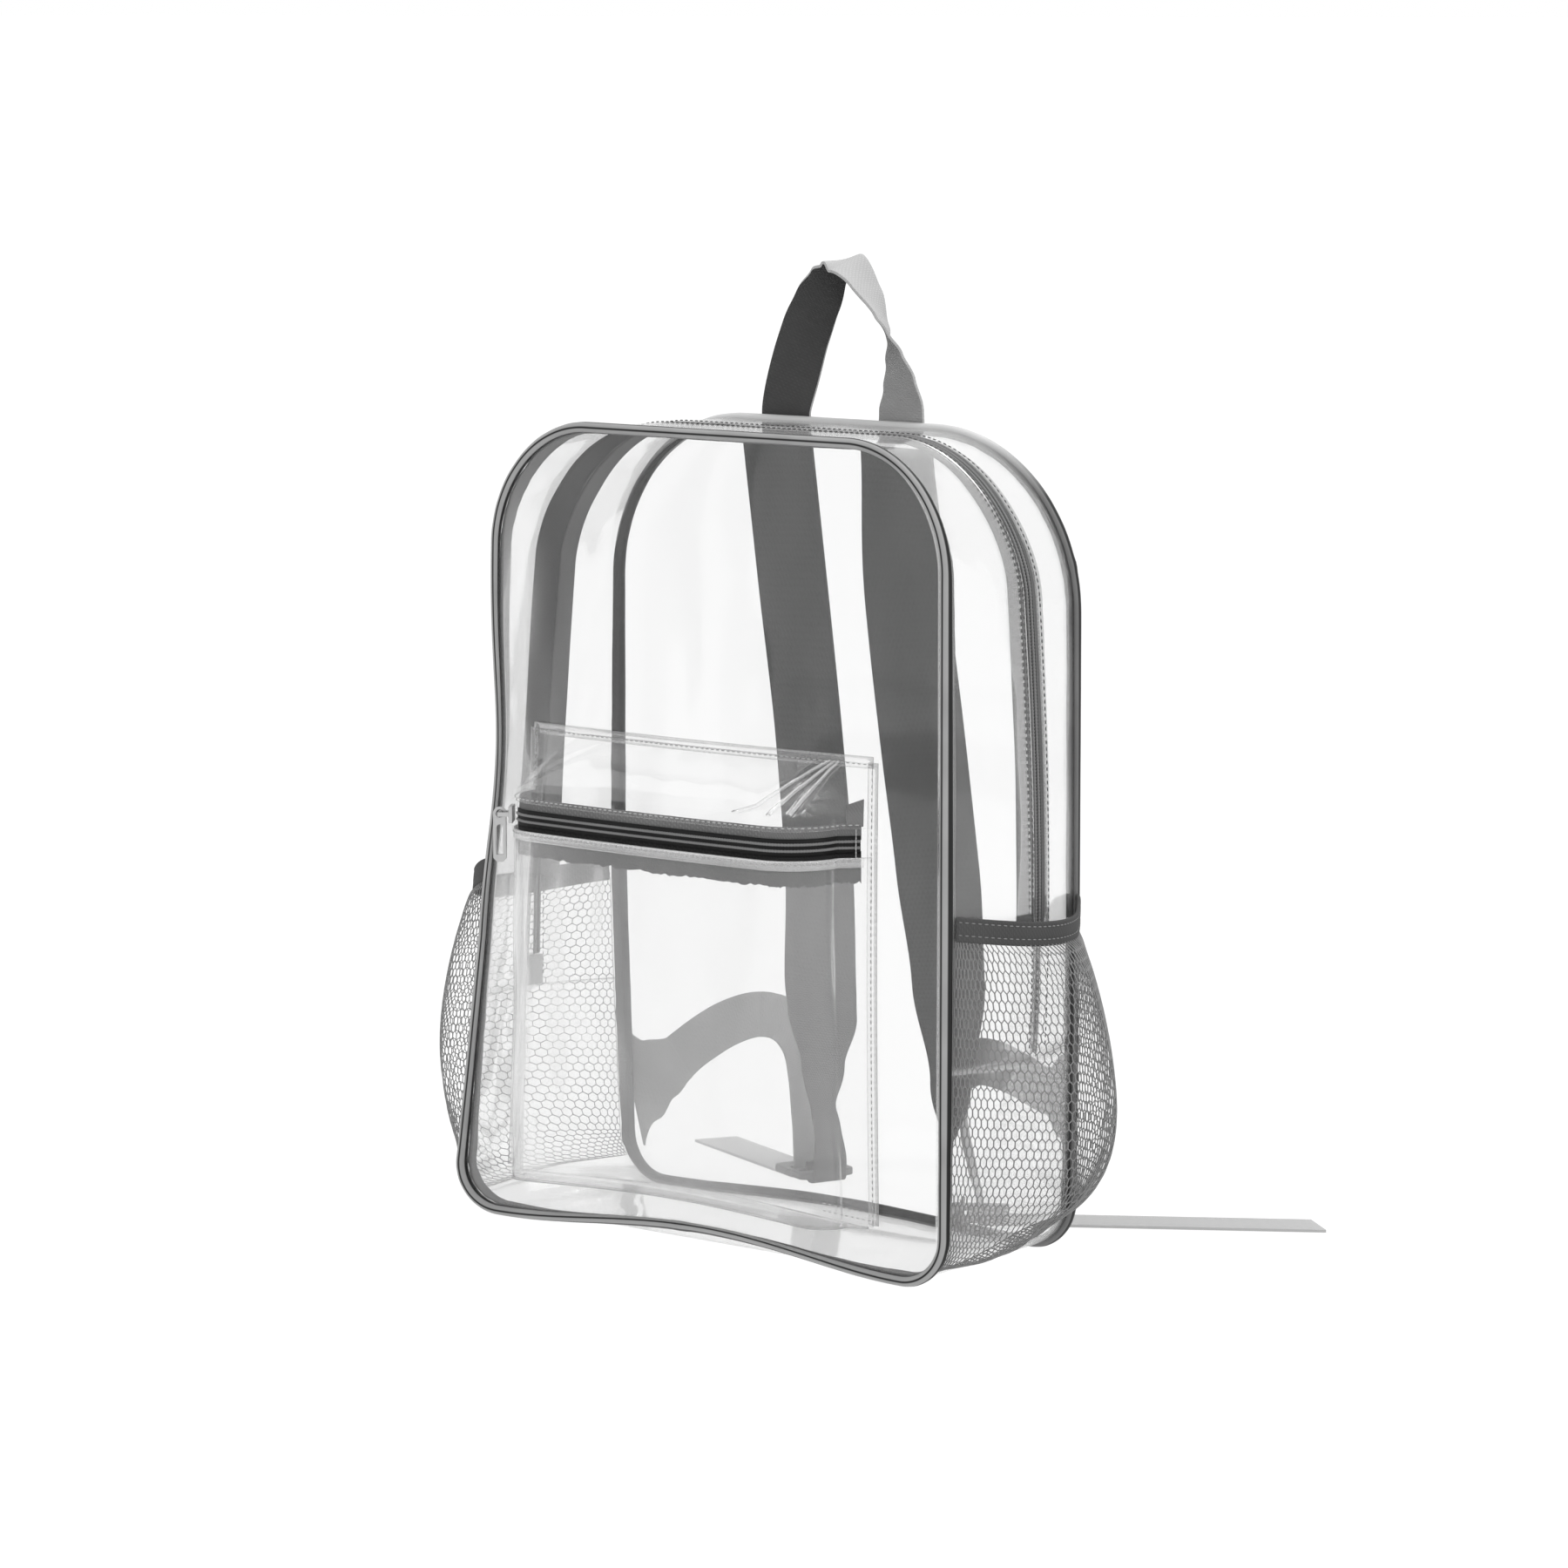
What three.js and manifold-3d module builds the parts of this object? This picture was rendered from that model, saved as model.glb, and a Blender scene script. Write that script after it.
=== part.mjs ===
// Clear PVC backpack standing on its base.
// Millimetres, +Z up, front towards -Y, origin on the floor under the middle of the base.
import * as THREE from 'three';
import { mergeVertices } from 'three/addons/utils/BufferGeometryUtils.js';
import Module from 'manifold-3d';

const wasm = await Module();
wasm.setup();

// Driving sizes
const gap = 0.3; // kept between pieces that are sewn together
const wall = 1.0; // clear sheet
const cord = { radius: 2.8, sides: 8 }; // piping along the edges
const binding = { width: 9.5, thick: 1.8, start: 1.5 }; // tape over the seam edges, inside
const tape = { width: 13, thick: 0.8 }; // one side of a zip
const coil = { half: 3.0, thick: 2.6 };
const webbing = { width: 25, thick: 1.5 };

// The flat pattern of the bag, and how it settles when it stands
const bag = {
  height: 425,
  width: 312,
  depth: 112,
  back: 55, // y of the back edge
  bottomDepth: 120,
  topDepth: 107,
  frontTopRadius: 66,
  backTopRadius: 92,
  bottomRadius: 28,
  bottomSpread: 0.02, // the front edge is wider than the pattern at the floor
  topSpread: -0.045, // and narrower at the top
  sideBulge: { left: 27, right: 16 },
  bulgeRise: { left: 0.7, right: 0.85 }, // a smaller power puts the widest place lower
  leftCorner: 14, // the lower left front corner is pushed out
  leftBackIn: 10, // and the left back edge stands in
  frontBow: 11, // the lower front seam lifts off the floor in the middle
  backBow: 5,
  frontBulge: 9,
  backBulge: 4,
  zipEnd: 112, // height where the main zip starts on each side
  zipDepth: 0.56, // share of the depth, from the front
  rim: 0.18, // share of the depth over which the base rises to each lower seam
};
const front = bag.back - bag.depth;
const halfWidth = bag.width / 2;
const frontCord = front + cord.radius;
const backCord = bag.back - cord.radius;
const zipMiddle = front + bag.zipDepth * bag.depth;
const wallInset = cord.radius - wall / 2; // outer face of the gusset, in from the outline
const lining = cord.radius + wall / 2 + gap; // first clear inset inside the gusset

// Stations along one half of the outline, from the middle of the base to the middle of the top
const cells = { base: 4, lowCorner: 4, lowSide: 3, highSide: 5, topCorner: 7, top: 3 };
const lowCornerAt = cells.base;
const sideAt = lowCornerAt + cells.lowCorner;
const zipAt = sideAt + cells.lowSide;
const topCornerAt = zipAt + cells.highSide;
const topAt = topCornerAt + cells.topCorner;
const halfLoop = topAt + cells.top;
const fullLoop = 2 * halfLoop;
const seam = 0.005; // share of a station left open where two strips meet

const lerp = THREE.MathUtils.lerp;
const clamp = THREE.MathUtils.clamp;
const arch = (t) => Math.sin(Math.PI * clamp(t, 0, 1));

// Material looks, by kind
const looks = {
  clear: { color: 0xf1f4f5, roughness: 0.08, metalness: 0, transparent: true, opacity: 0.25 },
  piping: { color: 0x6a6c6e, roughness: 0.5, metalness: 0 },
  fabric: { color: 0x707274, roughness: 0.8, metalness: 0 },
  strap: { color: 0x66686a, roughness: 0.85, metalness: 0 },
  webbing: { color: 0xa5a6a8, roughness: 0.8, metalness: 0 },
  zip: { color: 0x3d3f41, roughness: 0.5, metalness: 0 },
  net: { color: 0xa2a4a6, roughness: 0.8, metalness: 0 },
  metal: { color: 0xb8bbbe, roughness: 0.3, metalness: 0.9 },
  plastic: { color: 0x8a8c8e, roughness: 0.45, metalness: 0 },
};

const backpack = new THREE.Group();

function addPiece(name, look, geometry) {
  const mesh = new THREE.Mesh(geometry, new THREE.MeshStandardMaterial(looks[look]));
  mesh.name = name;
  backpack.add(mesh);
}

function signedVolume(geometry) {
  const corners = [new THREE.Vector3(), new THREE.Vector3(), new THREE.Vector3()];
  const { position } = geometry.attributes;
  let volume = 0;
  for (let k = 0; k < geometry.index.count; k += 3) {
    corners.forEach((corner, n) => corner.fromBufferAttribute(position, geometry.index.getX(k + n)));
    volume += corners[0].dot(corners[1].cross(corners[2])) / 6;
  }
  return volume;
}

// Merges the vertices of a bent geometry, so that it is one closed body facing out
function closed(geometry) {
  geometry.deleteAttribute('normal');
  geometry.deleteAttribute('uv');
  const merged = mergeVertices(geometry, 1e-4);
  if (signedVolume(merged) < 0) {
    const { index } = merged;
    for (let k = 0; k < index.count; k += 3) {
      const first = index.getX(k);
      index.setX(k, index.getX(k + 1));
      index.setX(k + 1, first);
    }
  }
  merged.computeVertexNormals();
  return merged;
}

// A sheet: a box of cells whose length, width and thickness (each 0 to 1) are mapped to a place
function sheet(lengthCells, widthCells, place) {
  const geometry = new THREE.BoxGeometry(1, 1, 1, lengthCells, widthCells, 1);
  const { position } = geometry.attributes;
  const share = new THREE.Vector3();
  for (let k = 0; k < position.count; k += 1) {
    share.fromBufferAttribute(position, k).addScalar(0.5);
    position.setXYZ(k, ...place(share.x, share.y, share.z).toArray());
  }
  return closed(geometry);
}

// A closed ring: a torus whose turn along and turn around (each 0 to 1) are mapped to a place
function ring(lengthCells, sides, place) {
  const geometry = new THREE.TorusGeometry(2, 1, sides, lengthCells);
  const { position } = geometry.attributes;
  for (let around = 0; around <= sides; around += 1) {
    for (let along = 0; along <= lengthCells; along += 1) {
      const k = around * (lengthCells + 1) + along;
      const point = place((along % lengthCells) / lengthCells, (around % sides) / sides);
      position.setXYZ(k, ...point.toArray());
    }
  }
  return closed(geometry);
}

function toManifold(geometry) {
  const vertProperties = new Float32Array(geometry.attributes.position.array);
  const triVerts = new Uint32Array(geometry.index.array);
  return new wasm.Manifold(new wasm.Mesh({ numProp: 3, vertProperties, triVerts }));
}

function fromManifold(manifold) {
  const mesh = manifold.getMesh();
  const geometry = new THREE.BufferGeometry();
  geometry.setAttribute('position', new THREE.BufferAttribute(new Float32Array(mesh.vertProperties), 3));
  geometry.setIndex(new THREE.BufferAttribute(new Uint32Array(mesh.triVerts), 1));
  geometry.computeVertexNormals();
  return geometry;
}

// The outline of the flat pattern: a rounded rectangle with a normal at each station
function station(turn, depthShare) {
  const wrapped = turn > halfLoop ? turn - fullLoop : turn;
  const mirror = wrapped < 0 ? -1 : 1;
  const k = Math.abs(wrapped);
  const topRadius = lerp(bag.frontTopRadius, bag.backTopRadius, clamp(depthShare, 0, 1));
  const baseEnd = halfWidth - bag.bottomRadius;
  const topEnd = halfWidth - topRadius;
  const shoulder = bag.height - topRadius;
  let spot;
  if (k <= lowCornerAt) {
    spot = { x: (baseEnd * k) / cells.base, z: 0, nx: 0, nz: -1 };
  } else if (k <= sideAt) {
    const angle = ((k - lowCornerAt) / cells.lowCorner) * (Math.PI / 2);
    const [nx, nz] = [Math.sin(angle), -Math.cos(angle)];
    spot = { x: baseEnd + bag.bottomRadius * nx, z: bag.bottomRadius * (1 + nz), nx, nz };
  } else if (k <= zipAt) {
    const z = lerp(bag.bottomRadius, bag.zipEnd, (k - sideAt) / cells.lowSide);
    spot = { x: halfWidth, z, nx: 1, nz: 0 };
  } else if (k <= topCornerAt) {
    const z = lerp(bag.zipEnd, shoulder, (k - zipAt) / cells.highSide);
    spot = { x: halfWidth, z, nx: 1, nz: 0 };
  } else if (k <= topAt) {
    const angle = ((k - topCornerAt) / cells.topCorner) * (Math.PI / 2);
    const [nx, nz] = [Math.cos(angle), Math.sin(angle)];
    spot = { x: topEnd + topRadius * nx, z: shoulder + topRadius * nz, nx, nz };
  } else {
    spot = { x: topEnd * (1 - (k - topAt) / cells.top), z: bag.height, nx: 0, nz: 1 };
  }
  return { x: mirror * spot.x, z: spot.z, nx: mirror * spot.nx, nz: spot.nz };
}

// Settles a point of the flat pattern into the standing bag
function settle(x, y, z) {
  const depthShare = (y - front) / bag.depth;
  const heightShare = z / bag.height;
  const sideShare = clamp(x / halfWidth, -1, 1);
  const lean = lerp(bag.bottomDepth, bag.topDepth, heightShare) / bag.depth;
  const spread = 1 + (1 - depthShare) * lerp(bag.bottomSpread, bag.topSpread, heightShare);
  const hand = x < 0 ? 'left' : 'right';
  const rise = arch(Math.max(heightShare, 0) ** bag.bulgeRise[hand]);
  const bulge = bag.sideBulge[hand] * rise * arch(depthShare) * sideShare ** 8;
  const cornerOut = bag.leftCorner * clamp(1 - z / 150, 0, 1) ** 1.2 * (1 - depthShare) * sideShare ** 2;
  const backIn = bag.leftBackIn * depthShare * Math.abs(sideShare);
  const leftShift = x < 0 ? backIn - cornerOut : 0;
  const baseShare = clamp(x / (halfWidth - bag.bottomRadius), -1, 1);
  const middle = (1 - baseShare ** 2) ** 2;
  const low = clamp(1 - z / 90, 0, 1) ** 2;
  const nearFront = clamp(1 - depthShare / bag.rim, 0, 1);
  const nearBack = clamp(1 - (1 - depthShare) / bag.rim, 0, 1);
  const lift = (bag.frontBow * nearFront + bag.backBow * nearBack) * middle * low;
  // the base itself lies flat on the floor
  const flatAcross = clamp((1 - Math.abs(baseShare)) / 0.25, 0, 1);
  const flatDeep = clamp(Math.min(depthShare, 1 - depthShare) / bag.rim, 0, 1);
  const sag = wallInset * flatAcross * flatDeep * clamp(1 - (z - 10) / 30, 0, 1);
  return new THREE.Vector3(
    x * spread + Math.sign(x) * bulge + leftShift,
    bag.back - (bag.back - y) * lean,
    z + lift - sag,
  );
}

// A point on the bag: a station of the outline, a depth and a distance in from the outline
function skin(turn, y, inset) {
  const spot = station(turn, (y - front) / bag.depth);
  return settle(spot.x - spot.nx * inset, y, spot.z - spot.nz * inset);
}

// A strip of the gusset between two stations, two depths and two insets
function strip(from, to, lengthCells, depths, insets, depthCells = 1, spacing = (share) => share) {
  return sheet(lengthCells, depthCells, (along, across, through) => {
    const y = lerp(depths[0], depths[1], spacing(across));
    return skin(lerp(from, to, along), y, lerp(insets[0], insets[1], through));
  });
}

// Clear front and back panels, bulging a little
function panelBulge(x, z, amount) {
  const across = 1 - clamp(x / halfWidth, -1, 1) ** 2;
  return amount * across * arch(z / bag.height);
}

function panel(middle, bulge) {
  const inset = 2 * cord.radius + gap;
  const depthShare = (middle - front) / bag.depth;
  return sheet(2 * cells.base, topAt - lowCornerAt, (across, up, through) => {
    const spot = station(lerp(lowCornerAt, topAt, up), depthShare);
    const x = (2 * across - 1) * (spot.x - spot.nx * inset);
    const z = spot.z - spot.nz * inset;
    return settle(x, middle + (through - 0.5) * wall + panelBulge(x, z, bulge), z);
  });
}

addPiece('front_panel', 'clear', panel(frontCord, -bag.frontBulge));
addPiece('back_panel', 'clear', panel(backCord, bag.backBulge));

// Clear gusset: two strips over the top and one round the base
const stripCells = fullLoop - 2 * zipAt;
const [stripFrom, stripTo] = [zipAt + seam, fullLoop - zipAt - seam];
const frontEdge = front + 2 * cord.radius + gap;
const backEdge = bag.back - 2 * cord.radius - gap;
const sheetInsets = [wallInset, wallInset + wall];
const zipSlot = 7; // from the middle of the zip to the clear edge

addPiece(
  'front_gusset',
  'clear',
  strip(stripFrom, stripTo, stripCells, [frontEdge, zipMiddle - zipSlot], sheetInsets, 4),
);
addPiece(
  'back_gusset',
  'clear',
  strip(stripFrom, stripTo, stripCells, [zipMiddle + zipSlot, backEdge], sheetInsets, 3),
);
const edgeShare = (frontEdge - front) / bag.depth;
const baseRows = [edgeShare, bag.rim, 0.5, 1 - bag.rim, 1 - edgeShare];
const baseSpacing = (share) => baseRows[Math.round(share * (baseRows.length - 1))];
addPiece(
  'base_gusset',
  'clear',
  strip(seam - zipAt, zipAt - seam, 2 * zipAt, [front, bag.back], sheetInsets, baseRows.length - 1, baseSpacing),
);

// Corded piping and the binding behind it, along both edges
function piping(middle) {
  const flat = Math.cos(Math.PI / cord.sides);
  return ring(fullLoop, cord.sides, (along, around) => {
    const angle = (around + 0.5 / cord.sides) * 2 * Math.PI;
    const y = middle + cord.radius * Math.sin(angle);
    return skin(along * fullLoop - halfLoop, y, cord.radius * (1 - Math.cos(angle) / flat));
  });
}

function seamBinding(start, direction) {
  const corners = [[0, 0], [1, 0], [1, 1], [0, 1]];
  return ring(fullLoop, corners.length, (along, around) => {
    const [deep, inner] = corners[Math.round(around * corners.length)];
    const y = start + direction * (binding.start + deep * binding.width);
    return skin(along * fullLoop - halfLoop, y, lining + 0.9 + inner * binding.thick);
  });
}

addPiece('front_piping', 'piping', piping(frontCord));
addPiece('back_piping', 'piping', piping(backCord));
addPiece('front_binding', 'fabric', seamBinding(frontEdge, 1));
addPiece('back_binding', 'fabric', seamBinding(backEdge, -1));

// Main zip: two tapes, the coil between them and a plain slider at the left end
const zipSide = coil.half + gap;
const sliderLength = 0.36; // in stations, at the left end
const tapeInsets = [lining + gap, lining + gap + tape.thick];
const coilOuter = cord.radius - 0.4;

function zipTape(direction) {
  const inner = zipMiddle + direction * zipSide;
  return strip(stripFrom, stripTo, stripCells, [inner, inner + direction * tape.width], tapeInsets);
}

addPiece('front_zip_tape', 'fabric', zipTape(-1));
addPiece('back_zip_tape', 'fabric', zipTape(1));
addPiece(
  'main_zip_coil',
  'zip',
  strip(
    stripFrom,
    stripTo - sliderLength,
    stripCells,
    [zipMiddle - coil.half, zipMiddle + coil.half],
    [coilOuter, coilOuter + coil.thick],
  ),
);
addPiece(
  'main_zip_slider',
  'metal',
  strip(stripTo - sliderLength + seam, stripTo, 1, [zipMiddle - 4.5, zipMiddle + 4.5], [-0.6, lining - gap]),
);

// Net pockets on the sides, with a bound elastic mouth
const pocket = {
  frontTop: 190,
  backTop: { left: 178, right: 184 },
  dip: { left: 15, right: 3 },
  belly: { left: 37, right: 43 },
  mouth: 10,
  thick: 1.0,
  elasticHeight: 12,
  elasticThick: 2.0,
  clearance: 0.5,
};

function mouthHeight(hand, deep) {
  return lerp(pocket.frontTop, pocket.backTop[hand], deep) - pocket.dip[hand] * arch(deep);
}

// Rows of a pocket: two round the lower corner, then straight up to the mouth
const pocketCells = { corner: 2, side: 6, deep: 10 };
const pocketUpCells = pocketCells.corner + pocketCells.side;

function pocketSpot(row, top) {
  if (row <= pocketCells.corner) {
    return station(sideAt - pocketCells.corner + row, 0.5);
  }
  const z = lerp(bag.bottomRadius, top, (row - pocketCells.corner) / pocketCells.side);
  return { x: halfWidth, z, nx: 1, nz: 0 };
}

function pocketPoint(hand, deep, spot, up, out) {
  const side = hand === 'left' ? -1 : 1;
  const belly = pocket.belly[hand] * arch(up ** 0.85) ** lerp(1, 0.65, up) + pocket.mouth * up;
  const inset = wallInset - pocket.clearance - arch(deep) ** 0.75 * belly - out;
  const y = lerp(frontEdge, backEdge, deep);
  return settle(side * (spot.x - spot.nx * inset), y, spot.z - spot.nz * inset);
}

function meshPocket(hand) {
  return sheet(pocketCells.deep, pocketUpCells, (deep, share, through) => {
    const top = mouthHeight(hand, deep) - pocket.elasticHeight;
    const spot = pocketSpot(share * pocketUpCells, top);
    return pocketPoint(hand, deep, spot, spot.z / top, through * pocket.thick);
  });
}

function pocketElastic(hand) {
  return sheet(pocketCells.deep, 1, (deep, share, through) => {
    const top = mouthHeight(hand, deep);
    const z = lerp(top - pocket.elasticHeight + gap, top, share);
    return pocketPoint(hand, deep, { x: halfWidth, z, nx: 1, nz: 0 }, 1, through * pocket.elasticThick);
  });
}

for (const hand of ['left', 'right']) {
  addPiece(`mesh_pocket_${hand}`, 'net', meshPocket(hand));
  addPiece(`pocket_elastic_${hand}`, 'fabric', pocketElastic(hand));
}

// Clear front pocket: it stands out from the front panel, furthest at its zip
const box = {
  middle: -4,
  half: 116,
  cornerIn: 12, // the front corners stand this much in from the side seams
  bottom: 28,
  bottomReach: 24,
  zipReach: 40,
  zipHeight: 223,
  bodyTop: 214.5,
  hemBottom: 231,
  hemTop: 237,
  seamTop: 264,
  seamGap: 1.2,
};
const planCells = { front: 3, corner: 4, side: 2 };
const planCorner = planCells.front + planCells.corner;
const planHalf = planCorner + planCells.side;

function pocketReach(z) {
  const share = clamp((z - box.bottom) / (box.zipHeight - box.bottom), 0, 1);
  return lerp(box.bottomReach, box.zipReach, share ** 0.8);
}

// Plan of the pocket: across and out from the front panel, from the left seam to the right one
function plan(turn, reach) {
  const k = Math.abs(turn);
  const radius = 0.68 * reach;
  const straight = box.half - box.cornerIn - radius;
  let spot;
  if (k <= planCells.front) {
    spot = [(straight * k) / planCells.front, reach];
  } else if (k <= planCorner) {
    const angle = ((k - planCells.front) / planCells.corner) * (Math.PI / 2);
    spot = [straight + radius * Math.sin(angle), reach - radius * (1 - Math.cos(angle))];
  } else {
    const share = (k - planCorner) / planCells.side;
    spot = [lerp(straight + radius, box.half, share), lerp(reach - radius, box.seamGap, share)];
  }
  return new THREE.Vector2(Math.sign(turn) * spot[0], spot[1]);
}

function planNormal(turn, reach) {
  const step = 0.05;
  const ahead = plan(Math.min(turn + step, planHalf), reach);
  const behind = plan(Math.max(turn - step, -planHalf), reach);
  const along = ahead.sub(behind).normalize();
  return new THREE.Vector2(-along.y, along.x);
}

function onFrontPanel(across, out, z) {
  const x = box.middle + across;
  const face = frontCord - wall / 2 + panelBulge(x, z, -bag.frontBulge);
  return settle(x, face - out, z);
}

function pocketWall(turn, z, out) {
  const reach = pocketReach(z);
  const spot = plan(turn, reach).addScaledVector(planNormal(turn, reach), out);
  return onFrontPanel(spot.x, spot.y, z);
}

function pocketBand(turns, heights, outs, upCells = 1) {
  const stops = [turns[0]];
  for (let turn = Math.floor(turns[0]) + 1; turn < turns[1]; turn += 1) {
    stops.push(turn);
  }
  stops.push(turns[1]);
  const lengthCells = stops.length - 1;
  return sheet(lengthCells, upCells, (along, up, through) => {
    const z = lerp(heights[0], heights[1], up);
    return pocketWall(stops[Math.round(along * lengthCells)], z, lerp(outs[0], outs[1], through));
  });
}

function pocketBase() {
  const ends = planHalf - 0.5;
  return sheet(2 * planHalf, 1, (along, across, through) => {
    const spot = plan(lerp(-ends, ends, along), box.bottomReach);
    const z = box.bottom - gap - through * wall;
    return onFrontPanel(spot.x, lerp(box.seamGap, spot.y, across), z);
  });
}

// Above its zip the pocket has a short upright hem and then slopes back to its top seam
function pocketTop() {
  const hem = 0.2;
  return sheet(4 * planHalf, 5, (along, up, through) => {
    const turn = lerp(-planHalf, planHalf, along);
    const spot = plan(turn, box.zipReach);
    const normal = planNormal(turn, box.zipReach);
    const slope = clamp((up - hem) / (1 - hem), 0, 1);
    const level = up < hem ? lerp(box.hemBottom, box.hemTop, up / hem) : 0;
    const z = slope > 0 || up >= hem ? lerp(box.hemTop, box.seamTop, slope ** 0.85) : level;
    const across = lerp(spot.x, (turn / planHalf) * box.half, slope);
    const out = lerp(spot.y, box.seamGap + 0.2, slope ** 1.1);
    const grow = (through - 1) * wall;
    const lift = slope > 0 ? grow * (1 - 0.5 * slope) : 0;
    return onFrontPanel(across + normal.x * grow, Math.max(out + normal.y * grow, 0.2), z + lift);
  });
}

const pocketTapeOuts = [-wall - gap - tape.thick, -wall - gap];
const pocketZipTurns = [-8.6, 8.4];
const pocketTapeSide = coil.half + 0.8;

addPiece('front_pocket_body', 'clear', pocketBand([-planHalf, planHalf], [box.bottom, box.bodyTop], [-wall, 0], 5));
addPiece('front_pocket_base', 'clear', pocketBase());
addPiece('front_pocket_top', 'clear', pocketTop());
addPiece(
  'pocket_zip_upper_tape',
  'fabric',
  pocketBand(pocketZipTurns, [box.zipHeight + pocketTapeSide, box.hemTop - gap], pocketTapeOuts),
);
addPiece(
  'pocket_zip_lower_tape',
  'fabric',
  pocketBand(
    pocketZipTurns,
    [box.zipHeight - pocketTapeSide - tape.width, box.zipHeight - pocketTapeSide],
    pocketTapeOuts,
  ),
);

// Front pocket slider on the left corner, with a bail that the pull hangs from
const slider = {
  turn: -5.29,
  length: 12,
  height: 8.6,
  inner: -3.2,
  outer: 1.8,
  bailInner: 6.2,
  bailOuter: 7.8,
  bailLength: 10,
  bailHeight: 2.2,
  bailLeg: 2,
};
const sliderTurns = slider.length / 2 / 10.6 + 0.05; // half its length, in stations of the corner
const coilOuts = [-wall - gap - 1.5, -0.3];

addPiece(
  'pocket_zip_coil',
  'zip',
  pocketBand(
    [slider.turn + sliderTurns, pocketZipTurns[1]],
    [box.zipHeight - coil.half - 0.5, box.zipHeight + coil.half + 0.5],
    coilOuts,
  ),
);

// Frame of the slider: x along the zip to its left end, y out of the bag, z up
function sliderFrame() {
  const here = pocketWall(slider.turn, box.zipHeight, 0);
  const leftwards = pocketWall(slider.turn - 0.05, box.zipHeight, 0);
  const along = leftwards.sub(here).setZ(0).normalize();
  const up = new THREE.Vector3(0, 0, 1);
  const out = new THREE.Vector3().crossVectors(up, along);
  return new THREE.Matrix4().makeBasis(along, out, up).setPosition(here);
}

function block(sizeX, sizeY, sizeZ, y) {
  return closed(new THREE.BoxGeometry(sizeX, sizeY, sizeZ).translate(0, y, 0));
}

function zipSlider() {
  const plate = block(slider.length, slider.outer + 0.4, slider.height, (slider.outer - 0.4) / 2);
  const rise = slider.bailOuter - slider.outer + 0.4;
  const bail = block(slider.bailLength, rise, slider.bailHeight, slider.bailOuter - rise / 2);
  const window = block(
    slider.bailLength - 2 * slider.bailLeg,
    slider.bailInner - slider.outer,
    slider.bailHeight + 2,
    (slider.bailInner + slider.outer) / 2,
  );
  const solid = toManifold(plate).add(toManifold(bail)).subtract(toManifold(window));
  return fromManifold(solid).applyMatrix4(sliderFrame());
}

// The pull: a flat tab with an eye round the bail and a long slot, hanging down
const pull = { width: 7, length: 29, thick: 1.6, eye: 1.95, slotWidth: 3.2, slotTop: 9, slotBottom: 4 };

function zipPull() {
  const half = pull.width / 2;
  const outline = new THREE.Shape();
  outline.absarc(0, 0, half, 0, Math.PI, false);
  outline.lineTo(-half, half - pull.length + 2);
  outline.lineTo(-half + 2, half - pull.length);
  outline.lineTo(half - 2, half - pull.length);
  outline.lineTo(half, half - pull.length + 2);
  outline.closePath();
  const eye = new THREE.Path().absarc(0, 0, pull.eye, 0, 2 * Math.PI, true);
  const slot = new THREE.Path();
  const slotHalf = pull.slotWidth / 2;
  slot.absarc(0, -pull.slotTop + slotHalf, slotHalf, 0, Math.PI, false);
  slot.lineTo(-slotHalf, half - pull.length + pull.slotBottom);
  slot.lineTo(slotHalf, half - pull.length + pull.slotBottom);
  slot.closePath();
  outline.holes.push(eye, slot);
  const flat = new THREE.ExtrudeGeometry(outline, { depth: pull.thick, bevelEnabled: false, curveSegments: 8 });
  flat.translate(0, 0, -pull.thick / 2);
  // the tab's own x goes out of the bag, its y up and its z along the zip
  const turned = new THREE.Matrix4().makeBasis(
    new THREE.Vector3(0, 1, 0),
    new THREE.Vector3(0, 0, 1),
    new THREE.Vector3(1, 0, 0),
  );
  turned.setPosition(0, (slider.bailInner + slider.bailOuter) / 2, 0);
  return closed(flat.applyMatrix4(turned).applyMatrix4(sliderFrame()));
}

addPiece('pocket_zip_slider', 'metal', zipSlider());
addPiece('pocket_zip_pull', 'metal', zipPull());

// Straps: a ribbon through rows that give its place, the way its width points, its width and thickness
function ribbon(rows, lengthCells, widthCells, mirror = 1) {
  const curve = new THREE.CatmullRomCurve3(rows.map((row) => new THREE.Vector3(...row.at)), false, 'centripetal');
  return sheet(lengthCells, widthCells, (along, across, through) => {
    const k = Math.min(Math.floor(along * (rows.length - 1)), rows.length - 2);
    const share = THREE.MathUtils.smoothstep(along * (rows.length - 1) - k, 0, 1);
    const [before, after] = [rows[k], rows[k + 1]];
    const tangent = curve.getTangent(along);
    const side = new THREE.Vector3(...before.side).lerp(new THREE.Vector3(...after.side), share);
    side.addScaledVector(tangent, -side.dot(tangent)).normalize();
    const normal = new THREE.Vector3().crossVectors(tangent, side);
    const point = curve.getPoint(along);
    point.addScaledVector(side, (across - 0.5) * lerp(before.width, after.width, share));
    point.addScaledVector(normal, (through - 0.5) * lerp(before.thick, after.thick, share));
    return point.setX(mirror * point.x);
  });
}

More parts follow.
